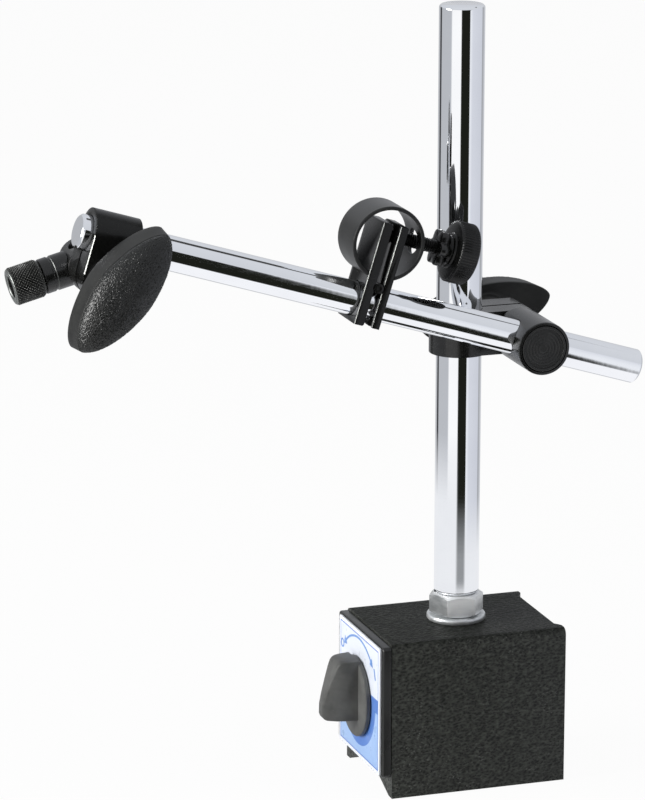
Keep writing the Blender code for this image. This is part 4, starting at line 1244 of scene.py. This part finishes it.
def make_floor():
    """Pale floor that the camera sees almost as plain white."""
    mesh = bmesh.new()
    bmesh.ops.create_grid(mesh, x_segments=8, y_segments=8, size=8.0)
    floor = link_mesh("floor", mesh, scene.collection)
    floor.location = (0, 0, -0.0002)
    floor.visible_glossy = False
    mat = Material("floor_pale")
    tone = mat.range(mat.soft_noise(1.5), 0.3, 0.7)
    mat.set(color=mat.mix(tone, (0.88, 0.88, 0.88), (0.90, 0.90, 0.90)), rough=0.9, spec=0.1)
    floor.data.materials.append(mat.data)
    nodes = mat.tree.nodes
    camera_ray = mat.node("ShaderNodeLightPath").outputs["Is Camera Ray"]
    shader = mat.mix_shader(mat.times(camera_ray, 0.96), nodes["Principled BSDF"].outputs[0],
                            mat.glow("Emission", (1, 1, 1)))
    mat.put(nodes["Material Output"].inputs["Surface"], shader)


def make_card_material():
    """Bright near the foot, fading outwards, darker towards the camera; steep rays pass."""
    data = bpy.data.materials.new("table_card")
    data.use_nodes = True
    data.node_tree.nodes.clear()
    mat = Graph(data.node_tree)
    radius = mat.vector("LENGTH", mat.coord, out="Value")
    ray_z = mat.split(mat.geometry("Incoming"))["Z"]
    heading = mat.vector("NORMALIZE", mat.coord)
    turn = math.radians(18)
    aim = mat.dot(heading, toward * math.cos(turn) + side * math.sin(turn))
    near = mat.range(aim, 0.90, 0.97)
    short = mat.math("MAXIMUM", near, mat.range(mat.dot(heading, side), 0.0, 0.15))
    reach = mat.add(mat.times(mat.fall(radius, 0.275, 0.36), short),
                    mat.times(mat.fall(radius, 0.36, 0.47), mat.math("SUBTRACT", 1.0, short)))
    alpha = mat.times(reach, mat.fall(ray_z, 0.30, 0.36))
    tone = mat.mix(mat.times(near, mat.range(radius, 0.222, 0.240)),
                   (0.86, 0.87, 0.89), (0.30, 0.31, 0.32))
    clear = mat.node("ShaderNodeBsdfTransparent").outputs[0]
    shader = mat.mix_shader(alpha, clear, mat.glow("Emission", tone))
    mat.put(mat.node("ShaderNodeOutputMaterial").inputs["Surface"], shader)
    return data


def make_card():
    """Round card just above the floor, seen only in reflections."""
    mesh = bmesh.new()
    bmesh.ops.create_circle(mesh, cap_ends=True, segments=64, radius=0.62)
    card = link_mesh("table_card", mesh, scene.collection)
    card.location = (COLUMN_X, COLUMN_Y, 0.0004)
    for ray in ("camera", "diffuse", "shadow", "transmission", "volume_scatter"):
        setattr(card, "visible_" + ray, False)
    card.data.materials.append(make_card_material())


def make_camera():
    data = bpy.data.cameras.new("camera")
    data.sensor_fit = "VERTICAL"
    data.sensor_height = 36
    data.lens = LENS
    data.clip_start, data.clip_end = 0.05, 60
    camera = bpy.data.objects.new("camera", data)
    scene.collection.objects.link(camera)
    place_at = (CAMERA_X + COLUMN_X, CAMERA_Y + COLUMN_Y, CAMERA_Z)
    camera.matrix_world = frame_at(place_at, RIGHT, -DOWN, -FORWARD)
    scene.camera = camera


def area(name, azimuth, elevation, distance, size, power, color, glossy):
    """Soft box; the azimuth is in degrees from the camera's side, positive to its right."""
    turn, lift = math.radians(azimuth), math.radians(elevation)
    direction = (toward * math.cos(turn) * math.cos(lift) + side * math.sin(turn) * math.cos(lift)
                 + Vector((0, 0, math.sin(lift))))
    location = LIGHT_TARGET + direction * distance
    light = bpy.data.lights.new(name, "AREA")
    light.shape = "RECTANGLE"
    light.size, light.size_y = size
    light.energy = power
    light.color = color
    obj = bpy.data.objects.new(name, light)
    scene.collection.objects.link(obj)
    obj.location = location
    obj.rotation_euler = (LIGHT_TARGET - location).to_track_quat("-Z", "Y").to_euler()
    obj.visible_glossy = glossy


make_floor()
make_card()
make_camera()
area("key", azimuth=-72, elevation=16, distance=1.5, size=(0.75, 0.75), power=25.0,
     color=(1, 0.995, 0.98), glossy=True)
area("fill", azimuth=75, elevation=30, distance=1.8, size=(1.0, 1.2), power=8.0,
     color=(0.97, 0.98, 1), glossy=False)

# ---- studio: the surroundings that polished metal reflects ----
# wall colours round the horizon: (azimuth in degrees, colour)
STUDIO_WALLS = [
    (-180, (0.62, 0.63, 0.65)), (-139, (0.46, 0.47, 0.49)), (-137, (0.05, 0.05, 0.055)),
    (-122, (0.05, 0.05, 0.055)), (-119, (0.50, 0.515, 0.54)), (-56, (0.50, 0.515, 0.545)),
    (-50, (1.0, 1.0, 1.0)), (-10, (1.0, 1.0, 1.0)), (44, (0.84, 0.86, 0.90)),
    (56, (0.68, 0.70, 0.76)), (118, (0.62, 0.64, 0.70)), (124, (0.34, 0.35, 0.37)),
    (150, (0.60, 0.61, 0.64))]


def make_studio():
    world = bpy.data.worlds.new("studio")
    scene.world = world
    world.use_nodes = True
    world.node_tree.nodes.clear()
    sky = Graph(world.node_tree, "Generated")
    ahead, across, up = [sky.dot(sky.coord, axis) for axis in (toward, side, UP)]
    degrees = 180 / math.pi
    azim = sky.times(sky.math("ARCTAN2", across, ahead), degrees)
    level = sky.math("SQRT", sky.add(sky.times(ahead, ahead), sky.times(across, across)))
    elev = sky.times(sky.math("ARCTAN2", up, level), degrees)

    walls = sky.ramp(sky.range(azim, -180, 180),
                     [((angle + 180) / 360, color) for angle, color in STUDIO_WALLS])
    above = sky.mix(sky.range(elev, 12, 90), (0.63, 0.65, 0.69), (0.70, 0.72, 0.76))
    color = sky.mix(sky.range(elev, 17, 20), walls, above)
    # a dark strip high up, behind the stand on the right
    strip = sky.times(sky.window(azim, 113, 146, 2.5), sky.window(elev, 47.6, 53.5, 0.6))
    color = sky.mix(strip, color, (0.05, 0.05, 0.05))
    # a dark panel on the camera's side, with a right edge that slants as it rises
    rise = sky.add(elev, 5.0)
    lean = sky.add(sky.times(rise, 0.06), sky.times(sky.math("MAXIMUM", rise, 0.0), 0.27))
    slant = sky.math("SUBTRACT", azim, lean)
    panel = sky.times(sky.times(sky.range(azim, -5, -2), sky.fall(slant, 39.7, 41.1)),
                      sky.window(elev, -46, 17, 1.2))
    color = sky.mix(panel, color, (0.012, 0.013, 0.010))
    # the white table below
    color = sky.mix(sky.fall(elev, -48, -46), color, (0.94, 0.945, 0.97))

    soft = sky.mix(sky.range(elev, -10, 80), (0.90, 0.90, 0.91), (0.55, 0.55, 0.55))
    rays = sky.node("ShaderNodeLightPath").outputs
    reflected = sky.glow("Background", color)
    diffuse = sky.glow("Background", soft, strength=0.27)
    seen = sky.glow("Background", (0.975, 0.975, 0.975))
    shader = sky.mix_shader(rays["Is Glossy Ray"], diffuse, reflected)
    shader = sky.mix_shader(rays["Is Camera Ray"], shader, seen)
    sky.put(sky.node("ShaderNodeOutputWorld").inputs["Surface"], shader)


make_studio()
